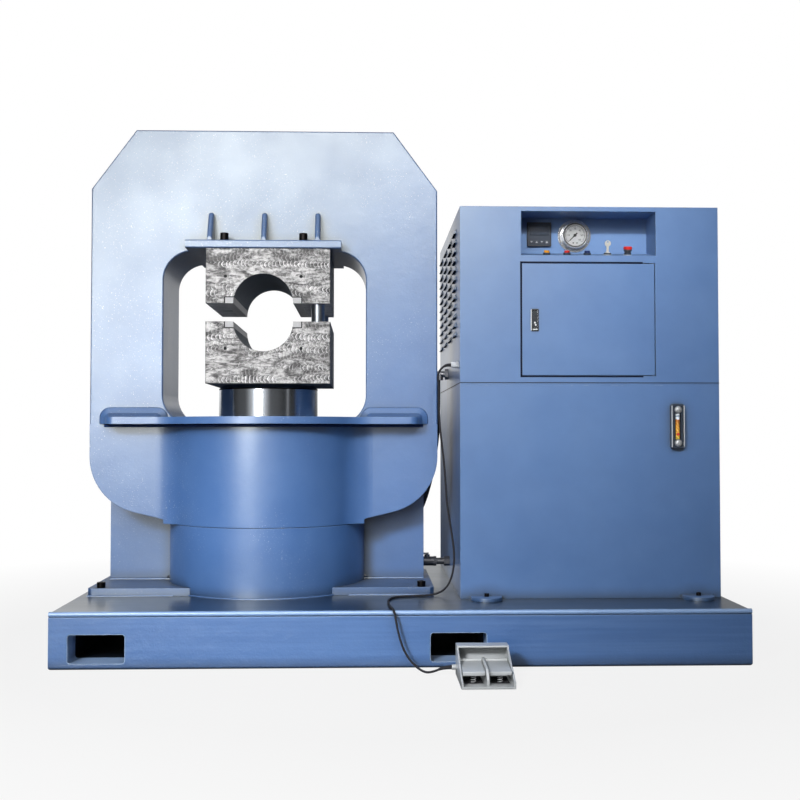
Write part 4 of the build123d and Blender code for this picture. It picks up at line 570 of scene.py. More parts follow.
def build_finishes():
    """Materials of every CAD node."""
    # Frame paint: painted shade in broad hollows as well as corners, and white dots painted as glints
    blue = paint("blue_enamel", BLUE, BLUE_PALE, BLUE_DEEP, peel=0.25, hollow_shade=0.35, glint_share=0.6, dull=0.8)
    finish_nodes(["press_frame", "cylinder_bottom", "shelf_plates", "stand_plates", "foot_plates", "die_holders",
                  "manifold"], blue)
    # The recess is painted lighter, as painted light
    recess = paint("blue_enamel_recess_lit", RECESS_BLUE_LIT, RECESS_PALE_LIT, RECESS_DEEP_LIT, gloss=0.55, peel=0.04,
                   coat=(0.2, 0.4), bloom_and_upward_dark=0.3, grime_and_corner_shade=0.1, ior=1.5)
    finish_nodes(["control_recess"], recess)
    sheet = paint("blue_enamel_sheet", SHEET_BLUE, BLUE_PALE, BLUE_DEEP, peel=0.04, coat=(0.6, 0.2),
                  rim=0.7, bloom_and_upward_dark=0.25, dull=0.8)
    finish_nodes(["tank_body", "tank_lid", "tank_tabs", "enclosure_shell", "rear_panel", "door"], sheet)
    skid = paint("blue_enamel_skid", SKID_BLUE, BLUE_PALE, BLUE_DEEP, streak=(0.25, 1, 9), streaky=0.28, rim=0.8)
    finish_nodes(["base_frame", "base_beams"], skid)
    # Tunnels painted near black, as painted shade for their dark insides
    tunnel_shade = paint("painted_tunnel_shade", (20, 28, 42), (30, 40, 56), (12, 18, 28), gloss=0.85, coat=(0.0, 0.3),
                   rim=0.0, chip=0.0, ior=1.2)
    finish_nodes(["fork_tunnels"], tunnel_shade)
    # The deck's darker blue is painted shade on its top
    deck = paint("blue_enamel_deck_shaded", DECK_BLUE_SHADED, BLUE_PALE, DECK_DEEP_SHADED, streak=(0.25, 1, 1), streaky=0.06, gloss=0.34,
                 peel=0.1, coat=(0.3, 0.22), rim=0.9, ior=1.6, sheen=(0.7, 0.88, 1.0, 1.0))
    finish_nodes(["base_deck"], deck)
    finish_nodes(["upper_die", "lower_die"], milled_steel("milled_die_steel"))
    finish_nodes(["upper_inserts", "lower_inserts"], metal("ground_insert", (190, 190, 192), 0.5, 0.1, metallic=0.3))
    ground = metal("ground_steel", (168, 168, 168), 0.4, grain=(0.2, 1, 4))
    finish_nodes(["door_pivots", "valve_lever", "motor_rotor"], ground)
    finish_nodes(["ram"], metal("hard_chrome", (206, 212, 220), 0.17, 0.06, **TURNED))
    finish_nodes(["guide_pins"], metal("ground_pins", (166, 172, 180), 0.3, 0.06, **TURNED))
    finish_nodes(["latch_plate"], metal("polished_chrome", (220, 223, 227), 0.1, 0.04, **TURNED))
    finish_nodes(["gauge_case"], metal("bright_chrome", (236, 238, 240), 0.14, 0.04, metallic=0.8))
    finish_nodes(["latch_handle"], metal("dark_chrome", (92, 96, 102), 0.34, 0.2, scale=240.0, bump=0.3))
    finish_nodes(["key_switch"], metal("nickel_key", (242, 238, 226), 0.32, 0.08, metallic=0.45))
    finish_nodes(["floor_bolts", "die_bolts"], metal("black_oxide", (44, 42, 42), 0.42, 0.1))
    finish_nodes(["gland_wiper", "piston_seals", "feed_hose", "foot_cable"], rubber("black_rubber", (16, 16, 18)))
    iron = metal("machined_iron", (120, 120, 122), 0.48, 0.12)
    finish_nodes(["cylinder_gland", "piston", "pump", "return_pipe"], iron)
    finish_nodes(["feed_fittings"], metal("zinc_plate", (190, 190, 194), 0.38, 0.12))
    grey = paint("grey_sprayed_casting", (196, 200, 203), (222, 225, 228), (170, 174, 180), gloss=0.5,
                 bloom_and_upward_dark=0.15, grime_and_corner_shade=0.5)
    finish_nodes(["pedal_base", "left_tread", "right_tread"], grey)
    finish_nodes(["button_bezels", "panel_meter", "level_gauge"], plastic("dark_plastic", (50, 58, 70), 0.42))
    finish_nodes(["gauge_dial"], plastic("white_dial", (248, 249, 249), 0.5, 0.02))
    finish_nodes(["gauge_needle"], plastic("black_needle", (24, 24, 26), 0.4, 0.02))
    finish_nodes(["gauge_lens"], clear("gauge_glass"))
    low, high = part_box("level_glass")
    finish_nodes(["level_glass"], oil_column("oil_in_sight_tube", low[2], high[2]))
    finish_nodes(["yellow_button"], plastic("yellow_cap", (226, 150, 34), 0.3, 0.02))
    finish_nodes(["red_button", "estop_button"], plastic("red_cap", (206, 38, 34), 0.3, 0.02))
    finish_nodes(["blue_button"], plastic("blue_cap", (28, 42, 88), 0.3, 0.02))
    finish_nodes(["mounting_plate"], metal("galvanised_sheet", (196, 200, 204), 0.4, 0.12, scale=30.0))
    finish_nodes(["switchgear"], plastic("grey_plastic", (150, 154, 158), 0.5))
    finish_nodes(["cable_gland"], plastic("pale_plastic", (188, 192, 196), 0.5))
    finish_nodes(["motor"], paint("grey_motor_paint", (96, 108, 124), (118, 130, 146), (70, 80, 94)))


def build_extra_finishes():
    """Materials of the added pieces."""
    paint("blue_weld", BLUE, BLUE_PALE, BLUE_DEEP, peel=0.9)
    plastic("key_caps", (66, 70, 78), 0.5)
    plastic("meter_display", (46, 55, 68), 0.25, 0.02)
    plastic("seam_shadow", (22, 23, 26), 0.7)
    # Navy of the door seal, also painted shade in the door's gap
    plastic("navy_seal_and_gap_shade", (10, 20, 42), 0.8)
    # Navy of the painted shadow under the shelf
    plastic("painted_shelf_shadow", (28, 54, 104), 0.7)
    plastic("bright_trim", (232, 234, 236), 0.35, 0.02)
    metal("satin_chrome", (206, 209, 212), 0.32, 0.1, metallic=0.6)
    # Pale blue of the deck's edge bead: painted highlight
    paint("pale_edge_highlight", (128, 162, 210), (160, 188, 226), BLUE_PALE, bloom_and_upward_dark=0.15)
    # Liners painted pale, partly their own light blue, partly painted light on the tunnel walls
    paint("pale_liner_painted_light", (160, 190, 230), (190, 212, 240), (138, 168, 212), rim=0.8, bloom_and_upward_dark=0.15, grime_and_corner_shade=0.6)


def add_object(name, data):
    """Object in the scene with its data."""
    piece = bpy.data.objects.new(name, data)
    bpy.context.scene.collection.objects.link(piece)
    return piece


def dress(piece, material, body="machine"):
    """Finish a piece and let it ride on a body."""
    piece.data.materials.append(bpy.data.materials[material])
    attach(piece, body)


def round_line(name, kind, points, radius, fineness):
    """Object of a round line through points, and its spline."""
    curve = bpy.data.curves.new(name, "CURVE")
    curve.dimensions = "3D"
    curve.bevel_depth = radius
    curve.bevel_resolution = fineness
    curve.use_fill_caps = True
    spline = curve.splines.new(kind)
    spline.points.add(len(points) - 1)
    for point, place in zip(spline.points, points):
        point.co = (*place, 1.0)
    return add_object(name, curve), spline


def nurbs(name, points, radius, shares=None):
    """Smooth round line along control points, with a share of the radius at each."""
    piece, spline = round_line(name, "NURBS", points, radius, 4)
    piece.data.resolution_u = 8
    for i, point in enumerate(spline.points):
        point.radius = shares[i] if shares else 1.0
    spline.order_u = 3
    spline.use_endpoint_u = True
    return piece


def bead(name, points, radius, closed=False, material="blue_weld"):
    """Round bead along straight lines between points."""
    piece, spline = round_line(name, "POLY", points, radius, 2)
    spline.use_cyclic_u = closed
    dress(piece, material)


def mesh_piece(name, shape, material, body="machine"):
    """Object from a bmesh."""
    mesh = bpy.data.meshes.new(name)
    bmesh.ops.recalc_face_normals(shape, faces=shape.faces)
    shape.to_mesh(mesh)
    shape.free()
    piece = add_object(name, mesh)
    dress(piece, material, body)
    return piece


def skin(shape, rings, smooth=True):
    """Add the faces between each ring of vertices and the next one to a bmesh."""
    for one, two in zip(rings, rings[1:]):
        count = len(one)
        for i in range(count):
            j = (i + 1) % count
            shape.faces.new((one[i], one[j], two[j], two[i])).smooth = smooth


def turned(shape, profile, place, axis, steps=32, ring_shaped=False):
    """Add a solid of revolution to a bmesh: profile points are (radius, distance along the axis).

    A ring's profile closes on itself; any other gets end caps.
    """
    turn = Vector(UP).rotation_difference(Vector(axis)).to_matrix().to_4x4()
    move = Matrix.Translation(place) @ turn
    rings = []
    for radius, along in profile:
        ring = []
        for i in range(steps):
            angle = 2 * math.pi * i / steps
            spot = Vector((radius * math.cos(angle), radius * math.sin(angle), along))
            ring.append(shape.verts.new(move @ spot))
        rings.append(ring)
    if ring_shaped:
        rings.append(rings[0])
    else:
        shape.faces.new(rings[0][::-1])
        shape.faces.new(rings[-1])
    skin(shape, rings)


def coil(shape, place, radius, wire, turns, height):
    """Add an upright coil spring to a bmesh."""
    per_turn, sides = 16, 8
    steps = per_turn * turns
    up = Vector(UP)
    spots = [2 * math.pi * k / sides for k in range(sides)]
    rings = []
    for i in range(steps + 1):
        angle = 2 * math.pi * i / per_turn
        out = Vector((math.cos(angle), math.sin(angle), 0))
        centre = Vector(place) + out * radius + up * (height * i / steps)
        rings.append([shape.verts.new(centre + (out * math.cos(t) + up * math.sin(t)) * wire) for t in spots])
    skin(shape, rings)
    shape.faces.new(rings[0][::-1])
    shape.faces.new(rings[-1])


def bar(shape, low, high, bevel=0.0):
    """Add a box with bevelled edges to a bmesh."""
    made = bmesh.ops.create_cube(shape, size=1.0)
    size = Vector(high) - Vector(low)
    middle = (Vector(high) + Vector(low)) / 2
    for vert in made["verts"]:
        vert.co = Vector(vert.co[i] * size[i] for i in range(3)) + middle
    if bevel:
        edges = {edge for vert in made["verts"] for edge in vert.link_edges}
        bmesh.ops.bevel(shape, geom=list(edges), offset=bevel, segments=2, affect="EDGES", profile=0.5)


def border(x0, y0, x1, y1, wide):
    """Corner pairs of a rectangular rim's bars: left, lower, upper and right."""
    return [((x0, y0), (x0 + wide, y1)), ((x0, y0), (x1, y0 + wide)), ((x0, y1 - wide), (x1, y1)),
            ((x1 - wide, y0), (x1, y1))]


def thicken(shape):
    """Turn the flat faces of a bmesh into thin closed solids."""
    bmesh.ops.remove_doubles(shape, verts=shape.verts[:], dist=1e-6)
    bmesh.ops.solidify(shape, geom=shape.faces[:], thickness=PRINT_T)


def midpoint(a, b):
    """Point halfway between two points."""
    return tuple((Vector(a) + Vector(b)) / 2)


def middle_of(node):
    """Middle of a node's box and its front Y."""
    low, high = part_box(node)
    return (low[0] + high[0]) / 2, low[1], (low[2] + high[2]) / 2


def axis_of(node):
    """X and Y of the upright axis of a round node, and its radius."""
    low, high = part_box(node)
    return (low[0] + high[0]) / 2, (low[1] + high[1]) / 2, (high[0] - low[0]) / 2


def ring_points(x, y, z, radius, count, start=0.0, sweep=360.0):
    """Points round an upright axis; 0 is the front and angles run to the right."""
    points = []
    for i in range(count):
        angle = math.radians(start + sweep * i / (count if sweep == 360.0 else count - 1))
        points.append((x + radius * math.sin(angle), y - radius * math.cos(angle), z))
    return points


def build_cable():
    """Foot switch cable over the deck's edge, with a tapered relief at each end."""
    cable = nurbs("foot_switch_cable", CABLE_ROUTE, CABLE_D / 2)
    dress(cable, "black_rubber")
    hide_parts("foot_cable")
    gland = [*CABLE_ROUTE[:3], midpoint(CABLE_ROUTE[2], CABLE_ROUTE[3])]
    dress(nurbs("gland_relief", gland, CABLE_D / 2, (1.9, 1.8, 1.5, 1.15)), "black_rubber")
    pedal = [CABLE_ROUTE[-1], CABLE_ROUTE[-2], midpoint(CABLE_ROUTE[-2], CABLE_ROUTE[-3])]
    dress(nurbs("pedal_relief", pedal, CABLE_D / 2, (1.9, 1.7, 1.15)), "black_rubber")


def scale_angle(share):
    """Angle at a share of the gauge's scale."""
    return math.radians(SCALE_START - SCALE_SWEEP * share)


def build_gauge_print():
    """Print and trim of the pressure gauge: ticks, ring and two small screws, plain numbers, rim and hub cap."""
    x, face, z = middle_of("gauge_dial")
    y = face - PRINT_T
    centre = Vector((x, y, z))
    shape = bmesh.new()
    for i in range(SCALE_STEPS + 1):
        angle = scale_angle(i / SCALE_STEPS)
        inner, wide = TICK_SHORT if i % 10 else TICK_LONG
        out = Vector((math.cos(angle), 0, math.sin(angle)))
        side = Vector((-math.sin(angle), 0, math.cos(angle))) * wide / 2
        corners = (inner, -side), (SCALE_R, -side), (SCALE_R, side), (inner, side)
        shape.faces.new([shape.verts.new(centre + out * radius + aside) for radius, aside in corners])
    for i in range(SCALE_ARCS):
        a, b = (scale_angle((i + k) / SCALE_ARCS) for k in (0, 1))
        outer = SCALE_R + SCALE_LINE
        arc = (SCALE_R, a), (outer, a), (outer, b), (SCALE_R, b)
        shape.faces.new([shape.verts.new((x + r * math.cos(t), y, z + r * math.sin(t))) for r, t in arc])
    for dx in (-0.0075, 0.0075):
        turned(shape, [(0.0026, 0), (0.0026, 0.0006), (0.0018, 0.001)], (x + dx, face, z - 0.031), FRONT, 16)
    thicken(shape)
    mesh_piece("gauge_scale", shape, "black_needle")
    for i in range(SCALE_NUMBERS + 1):
        angle = scale_angle(i / SCALE_NUMBERS)
        name = "gauge_number_%d" % i
        number = bpy.data.curves.new(name, "FONT")
        number.body = str(10 * i)
        number.size = NUMBER_H
        number.align_x = "CENTER"
        number.align_y = "CENTER"
        number.extrude = 0.0001
        piece = add_object(name, number)
        piece.location = (x + NUMBER_R * math.cos(angle), y, z + NUMBER_R * math.sin(angle))
        piece.rotation_euler = (math.pi / 2, 0, 0)
        dress(piece, "black_needle")
    rim = bmesh.new()
    turned(rim, [(0.0474, 0.0), (0.0474, 0.0012), (0.0438, 0.0008), (0.0438, 0.0)],
           (x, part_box("gauge_lens")[0][1], z), FRONT, 64, True)
    mesh_piece("gauge_rim", rim, "dark_plastic")
    hub = bmesh.new()
    turned(hub, [(0.0052, 0), (0.0052, 0.0012), (0.004, 0.002), (0.001, 0.0024)],
           (x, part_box("gauge_needle")[0][1], z), FRONT, 24)
    mesh_piece("needle_hub", hub, "black_needle", "needle")


def build_meter():
    """Face of the panel meter: four keys with their marks, display and raised rim."""
    (x0, face, z0), (x1, _, z1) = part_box("panel_meter")
    width = x1 - x0
    sunk = face + 0.001
    keys, marks = bmesh.new(), bmesh.new()
    for i in range(METER_KEYS):
        left = x0 + width * (KEY_FIRST + KEY_PITCH * i)
        bar(keys, (left, face - 0.0016, z0 + 0.010), (left + width * KEY_W, sunk, z0 + 0.024), 0.0012)
        middle = left + width * KEY_W / 2
        tip = MARK_HALF_H if i % 2 else -MARK_HALF_H
        foot, point = z0 + KEY_Z - tip, z0 + KEY_Z + tip
        corners = (middle - MARK_HALF_W, foot), (middle + MARK_HALF_W, foot), (middle, point)
        marks.faces.new([marks.verts.new((cx, face - 0.0018, cz)) for cx, cz in corners])
    mesh_piece("meter_keys", keys, "key_caps")
    thicken(marks)
    mesh_piece("meter_marks", marks, "grey_plastic")
    window = bmesh.new()
    bar(window, (x0 + width * 0.1, face - 0.0008, z0 + 0.045), (x1 - width * 0.1, sunk, z1 - 0.016), 0.0006)
    mesh_piece("meter_window", window, "meter_display")
    rim = bmesh.new()
    for a, b in border(x0, z0, x1, z1, METER_RIM):
        bar(rim, (a[0], face - 0.0015, a[1]), (b[0], sunk, b[1]), 0.001)
    mesh_piece("meter_rim", rim, "dark_plastic")


def build_level_gauge():
    """Bright rails and domed screws of the oil level gauge, and the float and ticks of its tube."""
    (x0, face, z0), (x1, _, z1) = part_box("level_gauge")
    x, z = (x0 + x1) / 2, (z0 + z1) / 2
    rails = bmesh.new()
    for a, b in ((x0, x0 + RAIL_W), (x1 - RAIL_W, x1)):
        bar(rails, (a, face - 0.0012, z0 + 0.006), (b, face + 0.012, z1 - 0.006), 0.002)
    mesh_piece("level_rails", rails, "satin_chrome")
    domes = bmesh.new()
    dome = [(0.0142, 0), (0.0142, 0.002), (0.0125, 0.0052), (0.009, 0.0078), (0.003, 0.0088)]
    for dz in (-LEVEL_SCREW_Z, LEVEL_SCREW_Z):
        turned(domes, dome, (x, face + 0.0015, z + dz), FRONT)
    mesh_piece("level_screws", domes, "satin_chrome")
    _, tube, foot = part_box("level_glass")[0]
    ball = bmesh.new()
    slopes = [math.radians(-80 + 20 * i) for i in range(9)]
    sphere = [(FLOAT_R * math.cos(t), FLOAT_R * math.sin(t)) for t in slopes]
    turned(ball, sphere, (x, tube + 0.0035, foot + 0.019), UP, 24)
    mesh_piece("level_float", ball, "red_cap")
    ticks = bmesh.new()
    for i in range(LEVEL_TICKS):
        height = foot + 0.030 + LEVEL_PITCH * i
        reach = 0.0075 if i % 4 == 0 else 0.0045
        bar(ticks, (x, tube - 0.0006, height), (x + reach, tube + 0.004, height + 0.0012))
    mesh_piece("level_ticks", ticks, "black_needle")


def build_tank_lines():
    """Gasket between the tank's lid and the enclosure, also painted shade in the seam, and the screws of the rear
    panel.
    """
    (x0, y0, _), (x1, y1, top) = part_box("tank_lid")
    gasket = bmesh.new()
    for a, b in border(x0 - GASKET_OUT, y0 - GASKET_OUT, x1 + GASKET_OUT, y1 + GASKET_OUT, GASKET_W):
        bar(gasket, (*a, top - GASKET_T / 2), (*b, top + GASKET_T / 2), 0.0006)
    mesh_piece("lid_gasket_and_seam_shade", gasket, "black_rubber")
    low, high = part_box("rear_panel")
    x0, x1 = low[0] + SCREW_INSET, high[0] - SCREW_INSET
    z0, z1 = low[2] + SCREW_INSET, high[2] - SCREW_INSET
    screws = bmesh.new()
    head = [(0.007, 0), (0.007, 0.0016), (0.0058, 0.0034), (0.0028, 0.0042), (0.0022, 0.0028)]
    for i in range(EDGE_SCREWS):
        share = i / (EDGE_SCREWS - 1)
        x, z = x0 + share * (x1 - x0), z0 + share * (z1 - z0)
        for across, up in ((x, z0), (x, z1), (x0, z), (x1, z)):
            turned(screws, head, (across, high[1], up), BACK, 20)
    mesh_piece("panel_screws", screws, "ground_steel")


def build_welds():
    """Weld beads where the press stands on its foot plates and the deck."""
    low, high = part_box("cylinder_bottom")
    x, y, radius = axis_of("cylinder_bottom")
    bead("cylinder_weld", ring_points(x, y, low[2], radius, 96), 0.006, True)
    foot_low, foot_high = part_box("foot_plates")
    # Plates, height of their welds, how far the welds run in under the cylinder, and bead radius
    for plates, z, under, size in (("stand", foot_high[2], 0.01, 0.007), ("foot", foot_low[2], 0.06, 0.005)):
        near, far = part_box(plates + "_plates")
        for side, a, b in (("left", near[0], low[0] + under), ("right", high[0] - under, far[0])):
            for face, place in (("front", near[1]), ("back", far[1])):
                bead("%s_weld_%s_%s" % (plates, side, face), [(a, place, z), (b, place, z)], size)


def shelf_outline(z):
    """Front outline of the frame and its barrel under the shelf, from the left wing to the right one."""
    x, y, radius = axis_of("cylinder_bottom")
    shelf_low, shelf_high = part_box("shelf_plates")
    front = y - FRAME_HALF_T
    reach = radius + BLEND_R
    across = math.sqrt(reach ** 2 - (FRAME_HALF_T + BLEND_R) ** 2)
    touch = math.degrees(math.asin(across / reach))
    barrel = ring_points(x, y, z, radius, 40, -touch, 2 * touch)
    blend = []
    for i in range(BLEND_STEPS):
        angle = math.radians(90 - touch * i / BLEND_STEPS)
        blend.append((BLEND_R * math.cos(angle), BLEND_R * math.sin(angle)))
    left = [(x - across + a, front - BLEND_R + b, z) for a, b in blend]
    right = [(x + across - a, front - BLEND_R + b, z) for a, b in reversed(blend)]
    return [(shelf_low[0] + 0.02, front, z), *left, *barrel, *right, (shelf_high[0] - 0.02, front, z)]


def build_shelf_shadow():
    """Dark navy bead under the shelf, where it sits on the frame and the barrel: a painted shadow of the shelf."""
    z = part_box("shelf_plates")[0][2] - SHELF_SHADOW_R
    bead("shelf_shadow_bead", shelf_outline(z), SHELF_SHADOW_R, material="painted_shelf_shadow")


def build_insert_seams():
    """Dark joints round the wear inserts, on both faces of the dies."""
    half = SEAM_W / 2
    for node, body, upper in (("upper_inserts", "machine", True), ("lower_inserts", "ram", False)):
        low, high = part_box(node)
        deep = high[2] if upper else low[2]
        seams = bmesh.new()
        for x0, x1, far in ((low[0], low[0] + INSERT_W, low[0]), (high[0] - INSERT_W, high[0], high[0])):
            for y0, y1 in ((low[1] - SEAM_PROUD, low[1] + SEAM_DEEP), (high[1] - SEAM_DEEP, high[1] + SEAM_PROUD)):
                bar(seams, (x0, y0, deep - half), (x1, y1, deep + half), 0.0001)
                bar(seams, (far - half, y0, low[2]), (far + half, y1, high[2]), 0.0001)
        mesh_piece("insert_seams_" + body, seams, "seam_shadow", body)


def build_dowel_hole_shade():
    """Black stoppers with flat heads in the dowel holes of the dies' front faces: painted shade for the dark holes.
    """
    middle = middle_of("ram")[0]
    hole_shade_profile = [(0.0049, 0.0), (0.0049, 0.0081), (0.0066, 0.0082), (0.0062, 0.0088), (0.0014, 0.009)]
    for node, body, upper in (("upper_die", "machine", True), ("lower_die", "ram", False)):
        low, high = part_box(node)
        z = low[2] + DOWEL_Z if upper else high[2] - DOWEL_Z
        hole_shades = bmesh.new()
        for x in (middle - DOWEL_X, middle + DOWEL_X):
            turned(hole_shades, hole_shade_profile, (x, low[1] + 0.008, z), FRONT, 24)
        mesh_piece("dowel_hole_shade_" + body, hole_shades, "seam_shadow", body)


def build_pads():
    """Ribbed rubber pad on the floor of the foot switch under each tread."""
    pads = bmesh.new()
    for side in ("left", "right"):
        low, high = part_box(side + "_tread")
        y0, y1 = low[1] + 0.002, high[1] - 0.02
        bar(pads, (low[0] + 0.003, y0, SPRING_FOOT - 0.001), (high[0] - 0.003, y1, SPRING_FOOT + 0.002), 0.0012)
        for i in range(PAD_RIBS):
            y = y0 + 0.008 + i * RIB_PITCH
            bar(pads, (low[0] + 0.006, y, SPRING_FOOT), (high[0] - 0.006, y + RIB_W, SPRING_FOOT + 0.004), 0.001)
    mesh_piece("pedal_pads", pads, "black_rubber")


def build_springs():
    """Return spring under each tread, with a mesh of its own."""
    for side in ("left", "right"):
        low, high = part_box(side + "_tread")
        place = ((low[0] + high[0]) / 2, low[1] + 0.022, SPRING_FOOT)
        spring = bmesh.new()
        coil(spring, place, SPRING_R, SPRING_WIRE, SPRING_TURNS, low[2] + 0.002 - SPRING_FOOT)
        piece = mesh_piece(side + "_spring", spring, "satin_chrome")
        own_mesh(piece)


def build_ram_edge():
    """Raised dark line round the ram below the die, as painted shade under the die."""
    x, y, radius = axis_of("ram")
    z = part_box("ram")[1][2] - RAM_LINE_DROP
    section = (-0.002, -0.0030), (0.0003, -0.0026), (0.0006, 0.0), (0.0003, 0.0026), (-0.002, 0.0030)
    ring = bmesh.new()
    turned(ring, [(radius + out, along) for out, along in section], (x, y, z), UP, 128, True)
    mesh_piece("ram_shade_ring", ring, "black_oxide", "ram")


def build_door_seal():
    """Dark navy seal in and beside the gap round the door, also painted shade in that gap; the hinge side stays
    free.
    """
    low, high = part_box("door")
    sides = border(low[0] - SEAL_GAP, low[2] - SEAL_GAP, high[0] - HINGE_ROOM, high[2] + SEAL_GAP, SEAL_W)
    seal = bmesh.new()
    for a, b in sides[:3]:
        bar(seal, (a[0], low[1] - 0.0008, a[1]), (b[0], low[1] + 0.008, b[1]), 0.0006)
    mesh_piece("door_seal", seal, "navy_seal_and_gap_shade")


def build_control_trim():
    """Collars and rings of the emergency stop and the key switch."""
    estop = (middle_of("estop_button")[0], *PANEL_LINE)
    key = (middle_of("key_switch")[0], *PANEL_LINE)
    collar = bmesh.new()
    turned(collar, [(0.0125, 0.0085), (0.0125, 0.0155), (0.0115, 0.017), (0.0098, 0.017), (0.0098, 0.0085)],
           estop, PANEL_NORMAL, ring_shaped=True)
    mesh_piece("estop_collar", collar, "dark_plastic")
    skirt = bmesh.new()
    turned(skirt, [(0.0155, 0.0155), (0.0160, 0.0175), (0.0160, 0.0228), (0.0130, 0.0228), (0.0130, 0.0155)],
           estop, PANEL_NORMAL, ring_shaped=True)
    mesh_piece("estop_skirt", skirt, "dark_plastic", "estop_button")
    rings = bmesh.new()
    for place in (estop, key):
        turned(rings, [(0.0172, 0.0), (0.0172, 0.0016), (0.0160, 0.0028), (0.0142, 0.0028), (0.0142, 0.0)],
               place, PANEL_NORMAL, ring_shaped=True)
    mesh_piece("switch_rings", rings, "satin_chrome")


def build_latch_trim():
    """Bright edge and lower bar of the latch plate, the edge a painted highlight, and rivets on the handle."""
    (x0, face, z0), (_, _, z1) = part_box("latch_plate")
    x = middle_of("latch_plate")[0]
    trim = bmesh.new()
    # Bright strip on the plate's left edge: painted highlight
    bar(trim, (x0 - 0.0012, face - 0.0006, z0 + 0.003), (x0 + 0.0018, face + 0.003, z1 - 0.003), 0.001)
    bar(trim, (x - 0.009, face - 0.001, z0 + 0.0055), (x + 0.009, face + 0.001, z0 + 0.0095), 0.0008)
    mesh_piece("latch_trim", trim, "bright_trim", "door")
    x, face, _ = middle_of("latch_handle")
    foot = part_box("latch_handle")[0][2]
    rivets = bmesh.new()
    for dx, dz in ((-0.0005, 0.0140), (0.0030, 0.0055)):
        head = [(0.0038, 0.0), (0.0038, 0.0008), (0.0028, 0.0018), (0.0010, 0.0022)]
        turned(rivets, head, (x + dx, face, foot + dz), FRONT, 20)
    mesh_piece("latch_rivets", rivets, "bright_trim", "latch")


def tunnel_outline(inset):
    """Points of a tunnel's rounded inner outline, drawn in by an inset."""
    half_w, half_h = TUNNEL_INNER[0] / 2 - inset, TUNNEL_INNER[1] / 2 - inset
    radius = TUNNEL_R - inset
    points = []
    for quarter, (sx, sz) in enumerate(((1, 1), (-1, 1), (-1, -1), (1, -1))):
        for i in range(7):
            angle = math.radians(90 * quarter + 15 * i)
            points.append((sx * (half_w - radius) + radius * math.cos(angle),
                           sz * (half_h - radius) + radius * math.sin(angle)))
    return points


def build_skid_trim():
    """Rounded bead on the deck's front edge, painted pale as highlight, and pale liners as painted light in forklift
    tunnel mouths.
    """
    low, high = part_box("base_deck")
    y, z = low[1] + 0.006, high[2] - 0.006
    bead("deck_edge_bead", [(low[0] + 0.0005, y, z), (high[0] - 0.0005, y, z)], 0.0095, material="pale_edge_highlight")
    tunnel_low, tunnel_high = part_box("fork_tunnels")
    middle = (tunnel_low[2] + tunnel_high[2]) / 2
    for name, x in (("left", tunnel_low[0] + TUNNEL_HALF), ("right", tunnel_high[0] - TUNNEL_HALF)):
        liner = bmesh.new()
        for front, back in ((low[1] + 0.0005, low[1] + LINER_DEEP), (high[1] - 0.0005, high[1] - LINER_DEEP)):
            loops = []
            for inset, depth in ((LINER_GAP, front), (LINER_T, front), (LINER_T, back), (LINER_GAP, back)):
                loops.append([liner.verts.new((x + a, depth, middle + b)) for a, b in tunnel_outline(inset)])
            skin(liner, loops + loops[:1], smooth=False)
        mesh_piece("fork_liner_" + name, liner, "pale_liner_painted_light")


def area_light(name, place, target, size, power, spread, mirrored):
    """Soft box that looks at a target; a narrow spread is a box with a grid."""
    light = bpy.data.lights.new(name, "AREA")
    light.shape = "RECTANGLE"
    light.size, light.size_y = size
    light.energy = power
    light.spread = math.radians(spread)
    lamp = add_object(name, light)
    lamp.location = place
    lamp.rotation_euler = (Vector(target) - Vector(place)).to_track_quat("-Z", "Y").to_euler()
    lamp.visible_glossy = mirrored


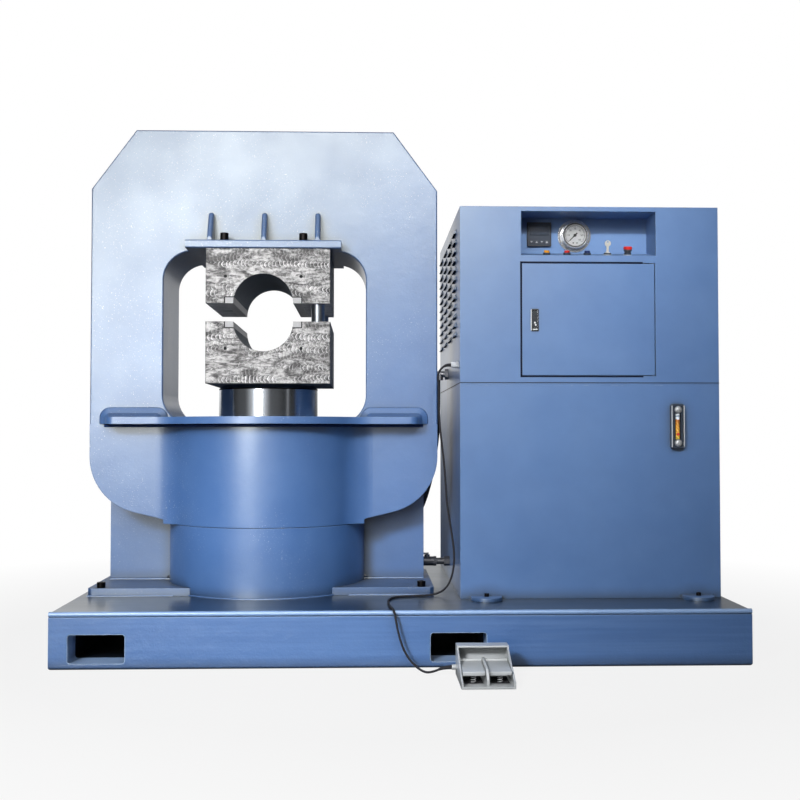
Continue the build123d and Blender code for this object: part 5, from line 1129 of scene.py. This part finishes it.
def build_world():
    """Studio round the machine: white to the eye, dark with a pale screen at the front left in reflections."""
    world = bpy.data.worlds.new("studio")
    bpy.context.scene.world = world
    s = Shader(world)
    path = s.add("LightPath")
    x, y, z = s.axes(s.add("TexCoord").outputs["Generated"])
    # Angle from straight ahead of the machine, in radians to the right
    turn = s.math("ARCTAN2", x, s.times(y, -1.0))
    panel = s.times(s.ease(turn, -0.95, -0.4), s.ease(turn, 0.22, -0.2))
    slit = s.times(s.ease(s.math("ABSOLUTE", s.minus(turn, 0.87)), 0.06, 0.01), 0.5)
    wall = s.times(s.ease(turn, -1.6, -1.1), s.ease(turn, 0.9, 0.4))
    ahead = s.math("MAXIMUM", panel, s.times(wall, 0.1))
    ahead = s.math("MAXIMUM", s.math("MAXIMUM", ahead, slit), 0.04)
    behind = s.times(s.spread(s.ease(x, 0.5, -0.1), 0.0, 1.0, 0.2, 1.0), s.spread(z, 0.0, 0.04, 0.25, 1.0))
    mirrored = s.blend(s.spread(y, 0.5, 0.85), ahead, behind)
    mirrored = s.blend(s.spread(z, 0.5, 0.9), mirrored, 0.5)
    lit = s.blend(path.outputs["Is Glossy Ray"], 0.025, mirrored)
    s.put(s.blend(s.seen(path), lit, 1.0), s.nodes["Background"].inputs["Strength"])
    s.put((1, 1, 1, 1), s.nodes["Background"].inputs["Color"])


def build_floor():
    """Pale floor that keeps the shadow and fades to the white surroundings."""
    bpy.ops.mesh.primitive_plane_add(size=FLOOR_SIZE)
    floor = bpy.context.object
    floor.name = "floor"
    s = new_shader("pale_floor")
    s.nodes.remove(s.surface)
    matte = s.add("BsdfDiffuse")
    grain = s.spread(s.noise(2.0, 4), 0.3, 0.7)
    s.put(s.mix(s.times(grain, 0.4), screen((140, 140, 141)), screen((134, 135, 137))), matte.inputs["Color"])
    glow = s.add("Emission")
    path = s.add("LightPath")
    x, y = s.axes(s.place())[:2]
    reach = s.math("SQRT", s.plus(s.times(x, x), s.times(y, y)))
    share = s.times(s.seen(path), s.spread(reach, 1.6, 3.4, 0.86, 1.0))
    mirrored = path.outputs["Is Glossy Ray"]
    s.put(s.blend(mirrored, 1.0, s.spread(reach, 3.0, 30.0, 0.04, 0.2)), glow.inputs["Strength"])
    blend = s.add("MixShader")
    s.put(s.math("MAXIMUM", share, mirrored), blend.inputs[0])
    s.put(matte.outputs[0], blend.inputs[1])
    s.put(glow.outputs[0], blend.inputs[2])
    s.put(blend.outputs[0], s.nodes["Material Output"].inputs["Surface"])
    floor.data.materials.append(s.owner)


def build_stage():
    """Camera, lamps, surroundings and floor."""
    scene = bpy.context.scene
    scene.view_settings.view_transform = "Standard"
    camera = bpy.data.cameras.new("camera")
    camera.lens = CAMERA_LENS
    camera.sensor_width = SENSOR_W
    eye = add_object("camera", camera)
    eye.location = CAMERA_PLACE
    eye.rotation_euler = [math.radians(turn) for turn in CAMERA_TURN]
    scene.camera = eye
    for name, settings in LAMPS.items():
        area_light(name, *settings)
    build_world()
    build_floor()


build_finishes()
build_extra_finishes()
build_cable()
build_gauge_print()
build_meter()
build_level_gauge()
build_tank_lines()
build_welds()
build_shelf_shadow()
build_insert_seams()
build_dowel_hole_shade()
build_pads()
build_springs()
build_ram_edge()
build_door_seal()
build_control_trim()
build_latch_trim()
build_skid_trim()
build_stage()
